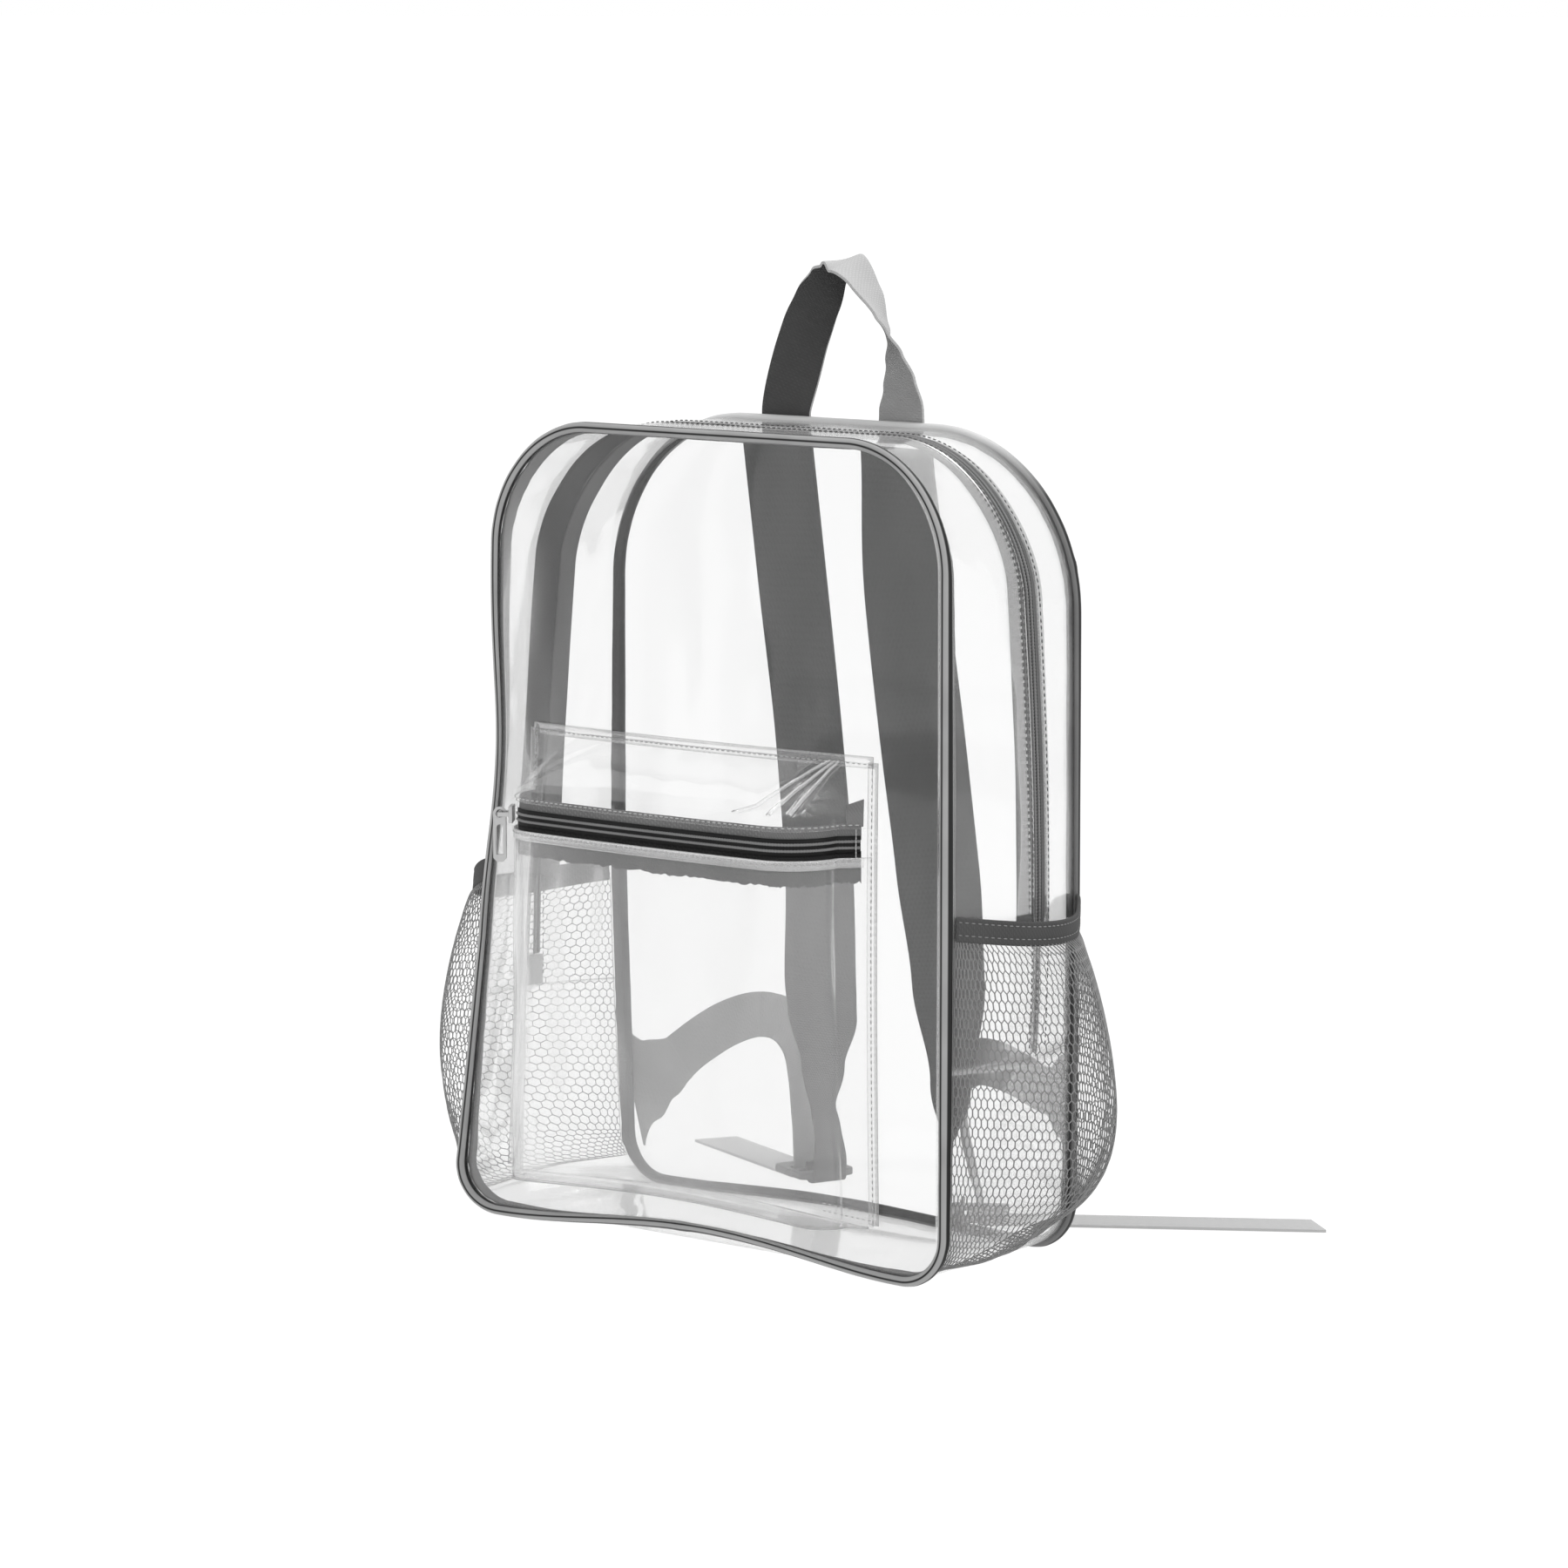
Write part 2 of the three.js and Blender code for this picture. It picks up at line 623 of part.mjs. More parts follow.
// Carrying handle: the webbing lies flat in the seam, and turns half round on its way over
const handleWidth = 32;
const handleRows = [
  { x: -37, y: 55.9, z: 404, turn: 0 },
  { x: -37, y: 56, z: 427, turn: 0 },
  { x: -27, y: 57, z: 464, turn: 12 },
  { x: -11, y: 57, z: 492, turn: 40 },
  { x: 6, y: 56, z: 506, turn: 84 },
  { x: 17, y: 56, z: 499, turn: 102 },
  { x: 25, y: 56, z: 479, turn: 122 },
  { x: 31, y: 56.5, z: 458, turn: 146 },
  { x: 37, y: 56.6, z: 440, turn: 170 },
  { x: 38, y: 56, z: 427, turn: 180 },
  { x: 38, y: 55.9, z: 404, turn: 180 },
].map(({ x, y, z, turn }) => {
  const angle = THREE.MathUtils.degToRad(turn);
  return { at: [x, y, z], side: [Math.cos(angle), Math.sin(angle), 0], width: handleWidth, thick: 1.6 };
});
addPiece('handle', 'strap', ribbon(handleRows, 30, 2));

// Ladder lock behind the bag on each side, its length pointing along the free webbing
const lock = { bottom: 2.4, thick: 4, length: 32, width: 34 };
const lockSlots = [
  { from: -10.5, to: -5.5, reach: 13.4 },
  { from: -1.5, to: 4, reach: 13 },
];

// Each side hangs its own way: the lock's place and heading, and the length of the free end
const hang = {
  left: { lockX: 68, lockY: 119, heading: 22, tail: 112, mirror: -1 },
  right: { lockX: 70, lockY: 84, heading: 33, tail: 180, mirror: 1 },
};

function lockFrame({ lockX, lockY, heading }) {
  const angle = THREE.MathUtils.degToRad(heading);
  const [c, d] = [Math.cos(angle), Math.sin(angle)];
  return { angle, side: [d, -c, 0], back: [-d, c, 0], at: (along, z) => [lockX + along * c, lockY + along * d, z] };
}

function ladderLock({ lockX, lockY, mirror }, { angle }) {
  const [halfLength, half] = [lock.length / 2, lock.width / 2];
  const corner = 4;
  const outline = new THREE.Shape();
  outline.absarc(halfLength - corner, half - corner, corner, 0, Math.PI / 2, false);
  outline.absarc(corner - halfLength, half - corner, corner, Math.PI / 2, Math.PI, false);
  outline.absarc(corner - halfLength, corner - half, corner, Math.PI, 1.5 * Math.PI, false);
  outline.absarc(halfLength - corner, corner - half, corner, 1.5 * Math.PI, 2 * Math.PI, false);
  outline.closePath();
  for (const { from, to, reach } of lockSlots) {
    const corners = [[from, -reach], [to, -reach], [to, reach], [from, reach]];
    outline.holes.push(new THREE.Path(corners.map((point) => new THREE.Vector2(...point))));
  }
  const flat = new THREE.ExtrudeGeometry(outline, { depth: lock.thick, bevelEnabled: false, curveSegments: 3 });
  flat.rotateZ(angle).translate(lockX, lockY, lock.bottom).scale(mirror, 1, 1);
  return closed(flat);
}

// Shoulder strap: bows back from the top seam, narrows, and turns under the lock's first bar
const straps = {
  left: [
    { at: [43, 55.4, 402], side: [1, 0, 0], width: 46, thick: 3 },
    { at: [40.4, 65, 335], side: [1, 0, 0], width: 46, thick: 3 },
    { at: [38.5, 77, 250], side: [1, 0, 0], width: 45, thick: 3 },
    { at: [40, 89, 172], side: [1, -0.05, 0], width: 43, thick: 3 },
    { at: [42, 95, 112], side: [1, -0.2, 0], width: 39, thick: 3 },
    { at: [45, 100, 66], side: [0.8, -0.6, 0], width: 26, thick: 2 },
    { at: [49, 108, 32], side: [0.37, -0.93, 0], ...webbing },
  ],
  right: [
    { at: [36, 55.4, 402], side: [1, 0, 0], width: 46, thick: 3 },
    { at: [34.5, 67, 330], side: [0.94, 0.34, 0], width: 46, thick: 3 },
    { at: [40.5, 73, 256], side: [0.92, 0.39, 0], width: 46, thick: 3 },
    { at: [48, 76.5, 187], side: [0.92, 0.39, 0], width: 45, thick: 3 },
    { at: [53.5, 79, 127], side: [0.94, 0.34, 0], width: 40, thick: 3 },
    { at: [54.5, 80, 72], side: [0.95, -0.1, 0], width: 28, thick: 2 },
    { at: [54.5, 77, 34], side: [0.6, -0.8, 0], ...webbing },
  ],
};

function strapRows(hand, { at, side }) {
  const turnUnder = [
    { along: -17.6, z: 12 },
    { along: -17.3, z: 5 },
    { along: -17.1, z: 2.2 },
    { along: -15.2, z: 1.15 },
    { along: -11.2, z: 1.15 },
    { along: -9.2, z: 2.4 },
    { along: -8.8, z: 6 },
    { along: -8.4, z: 11 },
  ];
  return [...straps[hand], ...turnUnder.map(({ along, z }) => ({ at: at(along, z), side, ...webbing }))];
}

// Tab in the back seam, and the webbing that leaves it over an arch, each side by its own rows
const tabs = {
  left: [
    { at: [149.5, 56.5, 51], side: [0, 0, 1], width: 64, thick: 1.6 },
    { at: [140, 58.6, 52], side: [0, 0, 1], width: 48, thick: 1.6 },
    { at: [131, 62.5, 58], side: [0, 0, 1], width: 34, thick: 1.6 },
    { at: [125, 67, 65], side: [0, 0, 1], width: 26, thick: 1.6 },
  ],
  right: [
    { at: [151.5, 56.3, 80], side: [0, 0, 1], width: 64, thick: 1.6 },
    { at: [142.5, 58, 80.5], side: [0, 0, 1], width: 44, thick: 1.6 },
    { at: [135, 60.2, 81], side: [0, 0, 1], width: 27, thick: 1.6 },
  ],
};
const arches = {
  left: [
    { at: [124.2, 67.6, 65.9], side: [0, 0, 1] },
    { at: [118.9, 71.6, 72.1], side: [0, 0, 1] },
    { at: [104, 87.5, 86], side: [0.35, 0, 0.93] },
    { at: [91, 100, 91], side: [0.22, 0.25, 0.93] },
    { at: [80, 107, 88], side: [0, 0.55, 0.83] },
    { at: [73, 112, 77], side: [-0.15, 0.85, 0.5] },
    { at: [71, 115, 60], side: [-0.15, 0.97, 0.2] },
    { at: [70, 117.6, 36], side: [-0.2, 0.97, 0] },
  ],
  right: [
    { at: [133.7, 60.6, 81.1], side: [0, 0, 1] },
    { at: [128, 62.3, 81.5], side: [0, 0, 1] },
    { at: [112, 67, 85], side: [0, 0.05, 1] },
    { at: [86.5, 80, 86.5], side: [0, 0.1, 1] },
    { at: [64, 90, 84], side: [-0.1, 0.2, 1] },
    { at: [54, 94, 76], side: [-0.4, 0.5, 0.75] },
    { at: [51.5, 95, 61], side: [-0.5, 0.7, 0.4] },
    { at: [54.5, 93.5, 43], side: [-0.5, 0.8, 0.15] },
    { at: [62, 90, 26], side: [-0.52, 0.84, 0] },
  ],
};

function webbingRows(hand, { back, at }) {
  const { tail } = hang[hand];
  const places = [
    ...arches[hand],
    { at: at(0.4, 12), side: back },
    { at: at(0.4, 5), side: back },
    { at: at(1.0, 2.2), side: back },
    { at: at(2.9, 1.15), side: back },
    { at: at(7, 1.1), side: back },
    { at: at(18, 1.1), side: back },
    { at: at(0.5 * tail, 1.1), side: back },
    { at: at(tail, 1.1), side: back },
  ];
  return places.map((place) => ({ ...place, ...webbing }));
}

for (const hand of ['left', 'right']) {
  const { mirror } = hang[hand];
  const place = lockFrame(hang[hand]);
  addPiece(`shoulder_strap_${hand}`, 'strap', ribbon(strapRows(hand, place), 33, 2, mirror));
  addPiece(`ladder_lock_${hand}`, 'plastic', ladderLock(hang[hand], place));
  addPiece(`tab_${hand}`, 'webbing', ribbon(tabs[hand], 6, 1, mirror));
  addPiece(`webbing_${hand}`, 'webbing', ribbon(webbingRows(hand, place), 48, 1, mirror));
}

export default backpack;
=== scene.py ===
import bisect
import math

import bmesh
import bpy
from mathutils import Matrix, Vector, noise


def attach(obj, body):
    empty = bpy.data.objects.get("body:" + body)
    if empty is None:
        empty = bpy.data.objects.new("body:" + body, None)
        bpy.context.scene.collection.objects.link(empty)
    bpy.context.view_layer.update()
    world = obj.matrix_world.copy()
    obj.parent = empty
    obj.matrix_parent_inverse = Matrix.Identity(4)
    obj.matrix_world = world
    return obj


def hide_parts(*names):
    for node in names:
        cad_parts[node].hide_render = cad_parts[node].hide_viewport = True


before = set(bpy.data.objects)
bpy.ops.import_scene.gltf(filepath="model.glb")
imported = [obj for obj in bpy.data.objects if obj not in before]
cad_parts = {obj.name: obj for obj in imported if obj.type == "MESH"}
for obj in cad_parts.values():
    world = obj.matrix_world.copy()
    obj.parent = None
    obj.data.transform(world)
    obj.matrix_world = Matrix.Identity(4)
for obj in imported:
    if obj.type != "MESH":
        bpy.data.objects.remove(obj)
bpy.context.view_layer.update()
scene = bpy.context.scene
scene.view_settings.view_transform = "Standard"
scene.cycles.transparent_max_bounces = 40
mm = 0.001

# Camera at the photo's angle
view = {
    "azimuth": 38.43, "elevation": 7.97, "distance": 2.903, "target": (0.0053, 0, 0.2378),
    "lens": 128.1, "sensor": 36,
}


def addCamera():
    azimuth = math.radians(view["azimuth"])
    elevation = math.radians(view["elevation"])
    level = math.cos(elevation)
    away = Vector((math.sin(azimuth) * level, -math.cos(azimuth) * level, math.sin(elevation)))
    data = bpy.data.cameras.new("camera")
    data.lens = view["lens"]
    data.sensor_width = view["sensor"]
    camera = bpy.data.objects.new("camera", data)
    camera.location = Vector(view["target"]) + away * view["distance"]
    camera.rotation_euler = (-away).to_track_quat("-Z", "Y").to_euler()
    scene.collection.objects.link(camera)
    scene.camera = camera


addCamera()
print("camera placed")


# Small helpers for shares and shapes
def lerp(a, b, share):
    return a + (b - a) * share


def clamp(value, low=0.0, high=1.0):
    return max(low, min(high, value))


def smooth(share):
    t = clamp(share)
    return t * t * (3 - 2 * t)


def arch(share):
    return math.sin(math.pi * clamp(share))


def ripple(seed, *place):
    return noise.noise(Vector((*place, 0, 0)[:3]) + Vector((seed * 17.3, seed * 5.1, seed * 9.7)))


# Shader sockets that add and multiply like numbers
class Socket:
    def __init__(self, tree, out):
        self.tree = tree
        self.out = out

    def math(self, operation, first, second=0.0):
        return self.tree.math(operation, first, second)

    def __add__(self, other):
        return self.math("ADD", self, other)

    def __sub__(self, other):
        return self.math("SUBTRACT", self, other)

    def __mul__(self, other):
        return self.math("MULTIPLY", self, other)

    def __pow__(self, other):
        return self.math("POWER", self, other)

    def wave(self):
        return self.math("SINE", self) * 0.5 + 0.5

    def limit(self, low, high):
        return self.math("MINIMUM", self.math("MAXIMUM", self, low), high)


class Look:
    def __init__(self, name):
        self.material = bpy.data.materials.new(name)
        self.material.use_nodes = True
        self.nodes = self.material.node_tree.nodes
        self.links = self.material.node_tree.links
        self.nodes.clear()

    def node(self, kind, settings, sockets):
        made = self.nodes.new(kind)
        for key, value in settings.items():
            setattr(made, key, value)
        for key, value in sockets.items():
            if isinstance(value, Socket):
                self.links.new(value.out, made.inputs[key])
            else:
                made.inputs[key].default_value = value
        return made

    def out(self, made, key=0):
        return Socket(self, made.outputs[key])

    def noise(self, coords, scale, detail=3.0, rough=0.5):
        sockets = {"Vector": coords, "Scale": scale, "Detail": detail, "Roughness": rough}
        return self.out(self.node("ShaderNodeTexNoise", {}, sockets), 0)

    def stretch(self, coords, scale):
        made = self.node("ShaderNodeVectorMath", {"operation": "MULTIPLY"}, {0: coords, 1: scale})
        return self.out(made, 0)

    def mix(self, share, first, second):
        made = self.node("ShaderNodeMix", {"data_type": "RGBA"}, {0: share, 6: first, 7: second})
        return self.out(made, 2)

    def bump(self, height, distance, strength=1.0):
        sockets = {"Height": height, "Distance": distance, "Strength": strength}
        return self.out(self.node("ShaderNodeBump", {}, sockets), 0)

    def math(self, operation, first, second=0.0):
        return self.out(self.node("ShaderNodeMath", {"operation": operation}, {0: first, 1: second}))

    def coords(self, key):
        return self.out(self.node("ShaderNodeTexCoord", {}, {}), key)

    def principled(self, sockets):
        return self.out(self.node("ShaderNodeBsdfPrincipled", {}, sockets), 0)

    def mixShader(self, share, first, second):
        return self.out(self.node("ShaderNodeMixShader", {}, {0: share, 1: first, 2: second}), 0)

    def finish(self, surface):
        self.node("ShaderNodeOutputMaterial", {}, {"Surface": surface})
        return self.material


def grey(value):
    return (value, value, value, 1)


# Clear sheet: most light goes through, with a white veil, soft streaks and a glossy skin; the veil's grey is
# painted shade and reflection of its wrinkles
def clearLook(name, veil, edge, streak, clear=0.979, shineShare=0.5):
    look = Look(name)
    place = look.coords("Object")
    broad = look.noise(look.stretch(place, (1, 1, 0.3)), 10.0, 4.0, 0.55)
    fine = look.noise(place, 70.0, 3.0)
    facing = look.out(look.node("ShaderNodeLayerWeight", {}, {"Blend": 0.3}), "Facing")
    normal = look.bump(broad * 0.8 + fine * 0.05, 0.003, 0.2)
    share = (broad - 0.45).limit(0.0, 1.0) * streak + veil + facing ** 4.0 * edge
    through = look.out(look.node("ShaderNodeBsdfTransparent", {}, {"Color": grey(clear)}), 0)
    # Painted shade and reflection: the veil turns greyer with the wrinkle noise, standing in for the
    # wrinkles' shade and reflections
    tint = look.mix(broad, grey(0.86), grey(0.97))
    milky = look.principled({"Base Color": tint, "Roughness": 0.5})
    film = look.mixShader(share, through, milky)
    sockets = {"Color": grey(0.97), "Roughness": 0.08, "Normal": normal}
    gloss = look.out(look.node("ShaderNodeBsdfGlossy", {}, sockets), 0)
    shine = look.out(look.node("ShaderNodeFresnel", {}, {"IOR": 1.38, "Normal": normal}), 0)
    return look.finish(look.mixShader(shine * shineShare, film, gloss))


# Cut edge of the clear sheet, which shows as a thin grey line
def edgeLook(name, colour, cover):
    look = Look(name)
    cloud = look.noise(look.coords("Object"), 40.0, 3.0)
    through = look.out(look.node("ShaderNodeBsdfTransparent", {}, {}), 0)
    tint = look.mix(cloud, grey(colour * 0.6), grey(colour * 1.3))
    cut = look.principled({"Base Color": tint, "Roughness": 0.25})
    return look.finish(look.mixShader(cloud * 0.5 + (cover - 0.25), through, cut))


# Woven cloth on its own flat coordinates, in metres along and across; an optional light ramp paints light on
# it towards its end
def clothLook(name, colour, thread, contrast=0.2, depth=0.0002, paintedLightFade=None):
    look = Look(name)
    flat = look.coords("UV")
    parts = look.node("ShaderNodeSeparateXYZ", {}, {"Vector": flat})
    along = look.out(parts, 0)
    across = look.out(parts, 1)
    turn = 2 * math.pi / thread
    weave = (along * turn).wave() * (across * turn * 0.5 + along * turn * 0.5).wave()
    cloud = look.noise(look.coords("Object"), 18.0, 3.0)
    fuzz = look.noise(look.stretch(flat, (900, 900, 1)), 1.0, 2.0)
    share = weave * contrast + cloud * 0.7 + fuzz * 0.12 - 0.1
    tint = look.mix(share.limit(0.0, 1.0), grey(colour * 0.65), grey(colour * 1.4))
    # Painted light: the tone turns paler towards the cloth's end, standing in for where the lamps fall
    # harder
    if paintedLightFade:
        reach = (along - paintedLightFade["start"]) * (1 / (paintedLightFade["end"] - paintedLightFade["start"]))
        tint = look.mix(reach.limit(0.0, 1.0), tint, grey(paintedLightFade["colour"]))
    normal = look.bump(weave + fuzz * 0.3, depth, 0.5)
    sockets = {"Base Color": tint, "Roughness": 0.85, "Specular IOR Level": 0.15, "Normal": normal}
    return look.finish(look.principled(sockets))


# Plain moulded, coated or metal parts with a fine grain
def solidLook(name, colour, rough, metal=0.0, grain=400.0, spread=0.15):
    look = Look(name)
    place = look.coords("Object")
    cloud = look.noise(place, 30.0, 4.0)
    speck = look.noise(place, grain, 2.0)
    tint = look.mix(cloud, grey(colour * (1 - spread)), grey(colour * (1 + spread)))
    sockets = {
        "Base Color": tint,
        "Roughness": speck * 0.2 + (rough - 0.1),
        "Metallic": metal,
        "Specular IOR Level": 0.5 if metal else 0.2,
        "Normal": look.bump(speck, 0.0001, 0.3),
    }
    return look.finish(look.principled(sockets))


# Vinyl over a cord, on its own UV, with light and shade painted in: a painted highlight ridge along each
# band, painted shade on the flanks, and a paler run over the top painted as top light
def vinylLook(name, pale, paintedShadeTone, paintedHighlightBands, top):
    look = Look(name)
    flat = look.node("ShaderNodeSeparateXYZ", {}, {"Vector": look.coords("UV")})
    angle = look.out(flat, 1) * (2 * math.pi / (piping["round"] * mm))
    # Painted highlight: a pale ridge at each listed angle of the cord, with painted shade on the flanks
    # between
    ridge = None
    for band in paintedHighlightBands:
        near = look.math("COSINE", angle - math.radians(band))
        rise = ((near - math.cos(math.radians(piping["flank"]))) * 12.0).limit(0.0, 1.0)
        ridge = rise if ridge is None else look.math("MAXIMUM", ridge, rise)
    place = look.coords("Object")
    cloud = look.noise(place, 35.0, 4.0)
    speck = look.noise(place, 1200.0, 2.0)
    upper = look.mix(cloud, grey(pale * 0.75), grey(pale * 1.2))
    lower = look.mix(cloud, grey(paintedShadeTone * 0.7), grey(paintedShadeTone * 1.6))
    # Painted top light: the cord turns paler over the bag's top, as if lit from above
    fromMiddle = look.math("ABSOLUTE", look.out(flat, 0) - piping["long"] * mm / 2)
    high = (fromMiddle - piping["topFrom"]) * 14.0
    tint = look.mix(high.limit(0.0, 1.0) * top, look.mix(ridge, lower, upper), grey(piping["topPaintedLight"]))
    sockets = {"Base Color": tint, "Roughness": speck * 0.15 + 0.3}
    sockets.update({"Specular IOR Level": 0.25, "Normal": look.bump(speck, 0.0001, 0.3)})
    return look.finish(look.principled(sockets))


# Piping: its round and its run in mm, the angles of its painted highlights in degrees, and where the painted
# top light starts in metres
piping = {
    "round": 17.6, "long": 1450, "flank": 31, "front": (-126, -52, 60), "back": (-60, 95),
    "topFrom": 0.53, "topPaintedLight": 0.6,
}
# Painted light: the handle's front face turns paler along its right leg, standing in for the lamps' light
# there
rightLegPaintedLight = {"start": 0.2, "end": 0.27, "colour": 0.28}
# Painted light: the webbing's tail on the floor turns paler, standing in for the light from above
freeEndPaintedLight = {"start": 0.28, "end": 0.31, "colour": 0.4}
# Clear sheets have veil, edge, streak, clearness and shine; cloths colour, thread, contrast, depth and
# painted light towards the end;
# solids colour, roughness, metal, grain and spread
looks = {
    "clear": clearLook("clearSheet", 0.012, 0.15, 0.03),
    "side": clearLook("clearSide", 0.03, 0.25, 0.18),
    "pocket": clearLook("clearPocket", 0.075, 0.2, 0.14, 0.985),
    "pocketTop": clearLook("clearPocketTop", 0.02, 0.1, 0.1, 0.998, 0.12),
    "hem": clearLook("clearHem", 0.2, 0.2, 0.3, 0.996),
    "edge": edgeLook("clearEdge", 0.4, 0.6),
    # The piping tones are painted highlight, painted shade and painted top light
    "frontPiping": vinylLook("frontPiping", 0.31, 0.006, piping["front"], 0.0),
    "backPiping": vinylLook("backPiping", 0.15, 0.012, piping["back"], 0.8),
    "frontBinding": clothLook("frontBinding", 0.2, 0.0011),
    "backBinding": clothLook("backBinding", 0.04, 0.0011),
    "frontTape": clothLook("frontZipTape", 0.07, 0.0012),
    "backTape": clothLook("backZipTape", 0.16, 0.0012),
    "upperTape": clothLook("upperZipTape", 0.16, 0.0012, 0.4),
    "lowerTape": clothLook("lowerZipTape", 0.022, 0.0012, 0.6),
    # Painted shadow: the near-black bed stands in for the shadow along the coil
    "coil": solidLook("zipCoilShadowBed", 0.006, 0.6),
    "ridge": solidLook("zipRidge", 0.17, 0.5),
    "metal": solidLook("sliderMetal", 0.5, 0.35, 0.9, 700.0, 0.1),
    "leftNet": solidLook("leftNetCord", 0.26, 0.7, 0.0, 1500.0, 0.2),
    "rightNet": solidLook("rightNetCord", 0.22, 0.7, 0.0, 1500.0, 0.2),
    "elastic": clothLook("elasticBinding", 0.068, 0.0014, 0.25, 0.0003),
    "strap": clothLook("strapCloth", 0.044, 0.0013, 0.1),
    # Painted light and shade: the handle's two faces are lit and shaded copies of one webbing, pale on one
    # face and near black on the other
    "handle": clothLook("handlePaintedShadeFace", 0.068, 0.0016, 0.2, 0.0003, rightLegPaintedLight),
    "handlePaintedLitFace": clothLook("handlePaintedLitFace", 0.4, 0.0016),
    "webbing": clothLook("lowerWebbing", 0.27, 0.0016, 0.12, 0.0002, freeEndPaintedLight),
    "lock": solidLook("lockPlastic", 0.09, 0.45),
    "thread": solidLook("stitchThread", 0.08, 0.7, 0.0, 2500.0, 0.25),
    "midThread": solidLook("midThread", 0.2, 0.7, 0.0, 2500.0, 0.2),
    "paleThread": solidLook("paleThread", 0.4, 0.7, 0.0, 2500.0, 0.2),
}
print("materials made")


# Pieces from grids, in millimetres, that ride on a body and stand for CAD nodes
def asObject(name, bm, look):
    mesh = bpy.data.meshes.new(name)
    bm.to_mesh(mesh)
    bm.free()
    mesh.polygons.foreach_set("use_smooth", [True] * len(mesh.polygons))
    made = bpy.data.objects.new(name, mesh)
    made.data.materials.append(looks[look])
    scene.collection.objects.link(made)
    return made


def bentGrid(cells, place, size, wrap=False):
    bm = bmesh.new()
    layer = bm.loops.layers.uv.new("flat")
    bmesh.ops.create_grid(bm, x_segments=cells[0], y_segments=cells[1], size=0.5)
    for face in bm.faces:
        for loop in face.loops:
            spot = loop.vert.co
            loop[layer].uv = ((spot.x + 0.5) * size[0] * mm, (spot.y + 0.5) * size[1] * mm)
    for vert in bm.verts:
        vert.co = place(vert.co.x + 0.5, vert.co.y + 0.5) * mm
    if wrap:
        bmesh.ops.remove_doubles(bm, verts=bm.verts, dist=1e-6)
    bmesh.ops.recalc_face_normals(bm, faces=bm.faces)
    return bm


def thicken(made, thick, edge=0.0):
    solid = made.modifiers.new("thickness", "SOLIDIFY")
    solid.thickness = thick * mm
    solid.offset = 0
    solid.material_offset_rim = len(made.data.materials) - 1
    if edge:
        bevel = made.modifiers.new("edge", "BEVEL")
        bevel.width = edge * mm
        bevel.segments = 2
        bevel.limit_method = "ANGLE"
        bevel.angle_limit = math.radians(50)


def joined(grids):
    whole = bmesh.new()
    for grid in grids:
        mesh = bpy.data.meshes.new("part")
        grid.to_mesh(mesh)
        grid.free()
        whole.from_mesh(mesh)
        bpy.data.meshes.remove(mesh)
    return whole


def settlePiece(made, nodes=(), body="bag"):
    if nodes:
        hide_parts(*nodes)
    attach(made, body)
    return made


# Even steps along a run, and rows of stitches on it
def lengthsAlong(run, count=400):
    spots = [run(k / count) for k in range(count + 1)]
    lengths = [0.0]
    for before, after in zip(spots, spots[1:]):
        lengths.append(lengths[-1] + (after - before).length)
    return lengths


def shareAt(lengths, share):
    goal = share * lengths[-1]
    k = min(bisect.bisect_right(lengths, goal), len(lengths) - 1)
    within = (goal - lengths[k - 1]) / max(lengths[k] - lengths[k - 1], 1e-9)
    return (k - 1 + within) / (len(lengths) - 1)


stitch = {"pitch": 3.4, "half": 1.25, "thick": 0.32}


def addStitches(name, runs, look="thread", pitch=stitch["pitch"]):
    bm = bmesh.new()
    shape = Matrix.Diagonal((stitch["half"], stitch["thick"], stitch["thick"], 1))
    for run in runs:
        lengths = lengthsAlong(run, 120)
        count = max(2, round(lengths[-1] / pitch))
        for k in range(count):
            t = shareAt(lengths, (k + 0.5) / count)
            ahead = run(min(t + 0.002, 1)) - run(max(t - 0.002, 0))
            turned = ahead.to_track_quat("X", "Z").to_matrix().to_4x4()
            spot = Matrix.Translation(run(t) * mm) @ turned @ shape
            bmesh.ops.create_uvsphere(bm, u_segments=6, v_segments=4, radius=mm, matrix=spot)
    settlePiece(asObject(name, bm, look))


# The flat pattern of the bag and how it settles: as in the CAD source, with softer left edges
bag = {
    "height": 425, "half": 156, "depth": 112, "front": -57, "back": 55, "bottomDepth": 120, "topDepth": 107,
    "frontTop": 66, "backTop": 92, "bottom": 28, "bottomSpread": 0.02, "topSpread": -0.045,
    "bulge": {"left": 27, "right": 16}, "rise": {"left": 0.7, "right": 0.85},
    "leftCorner": 14, "leftBackIn": 10, "frontBow": 11, "backBow": 5, "frontBulge": 9, "backBulge": 4,
    "zipEnd": 112, "rim": 0.18, "cord": 2.8, "wall": 1.0, "gap": 0.3, "cornerHeight": 150, "bowHeight": 90,
    "leftBackOut": 6, "leftWaist": {"deep": 9, "height": 0.58, "spread": 0.15},
}
cells = {"base": 4, "lowCorner": 4, "lowSide": 3, "highSide": 5, "topCorner": 7, "top": 3}
sideAt = 8
zipAt = 11
topCornerAt = 16
topAt = 23
halfLoop = 26
fullLoop = 52
frontCord = bag["front"] + bag["cord"]
backCord = bag["back"] - bag["cord"]
zipMiddle = bag["front"] + 0.56 * bag["depth"]
wallInset = bag["cord"] - bag["wall"] / 2
lining = bag["cord"] + bag["wall"] / 2 + bag["gap"]
frontEdge = bag["front"] + 2 * bag["cord"] + bag["gap"]
backEdge = bag["back"] - 2 * bag["cord"] - bag["gap"]


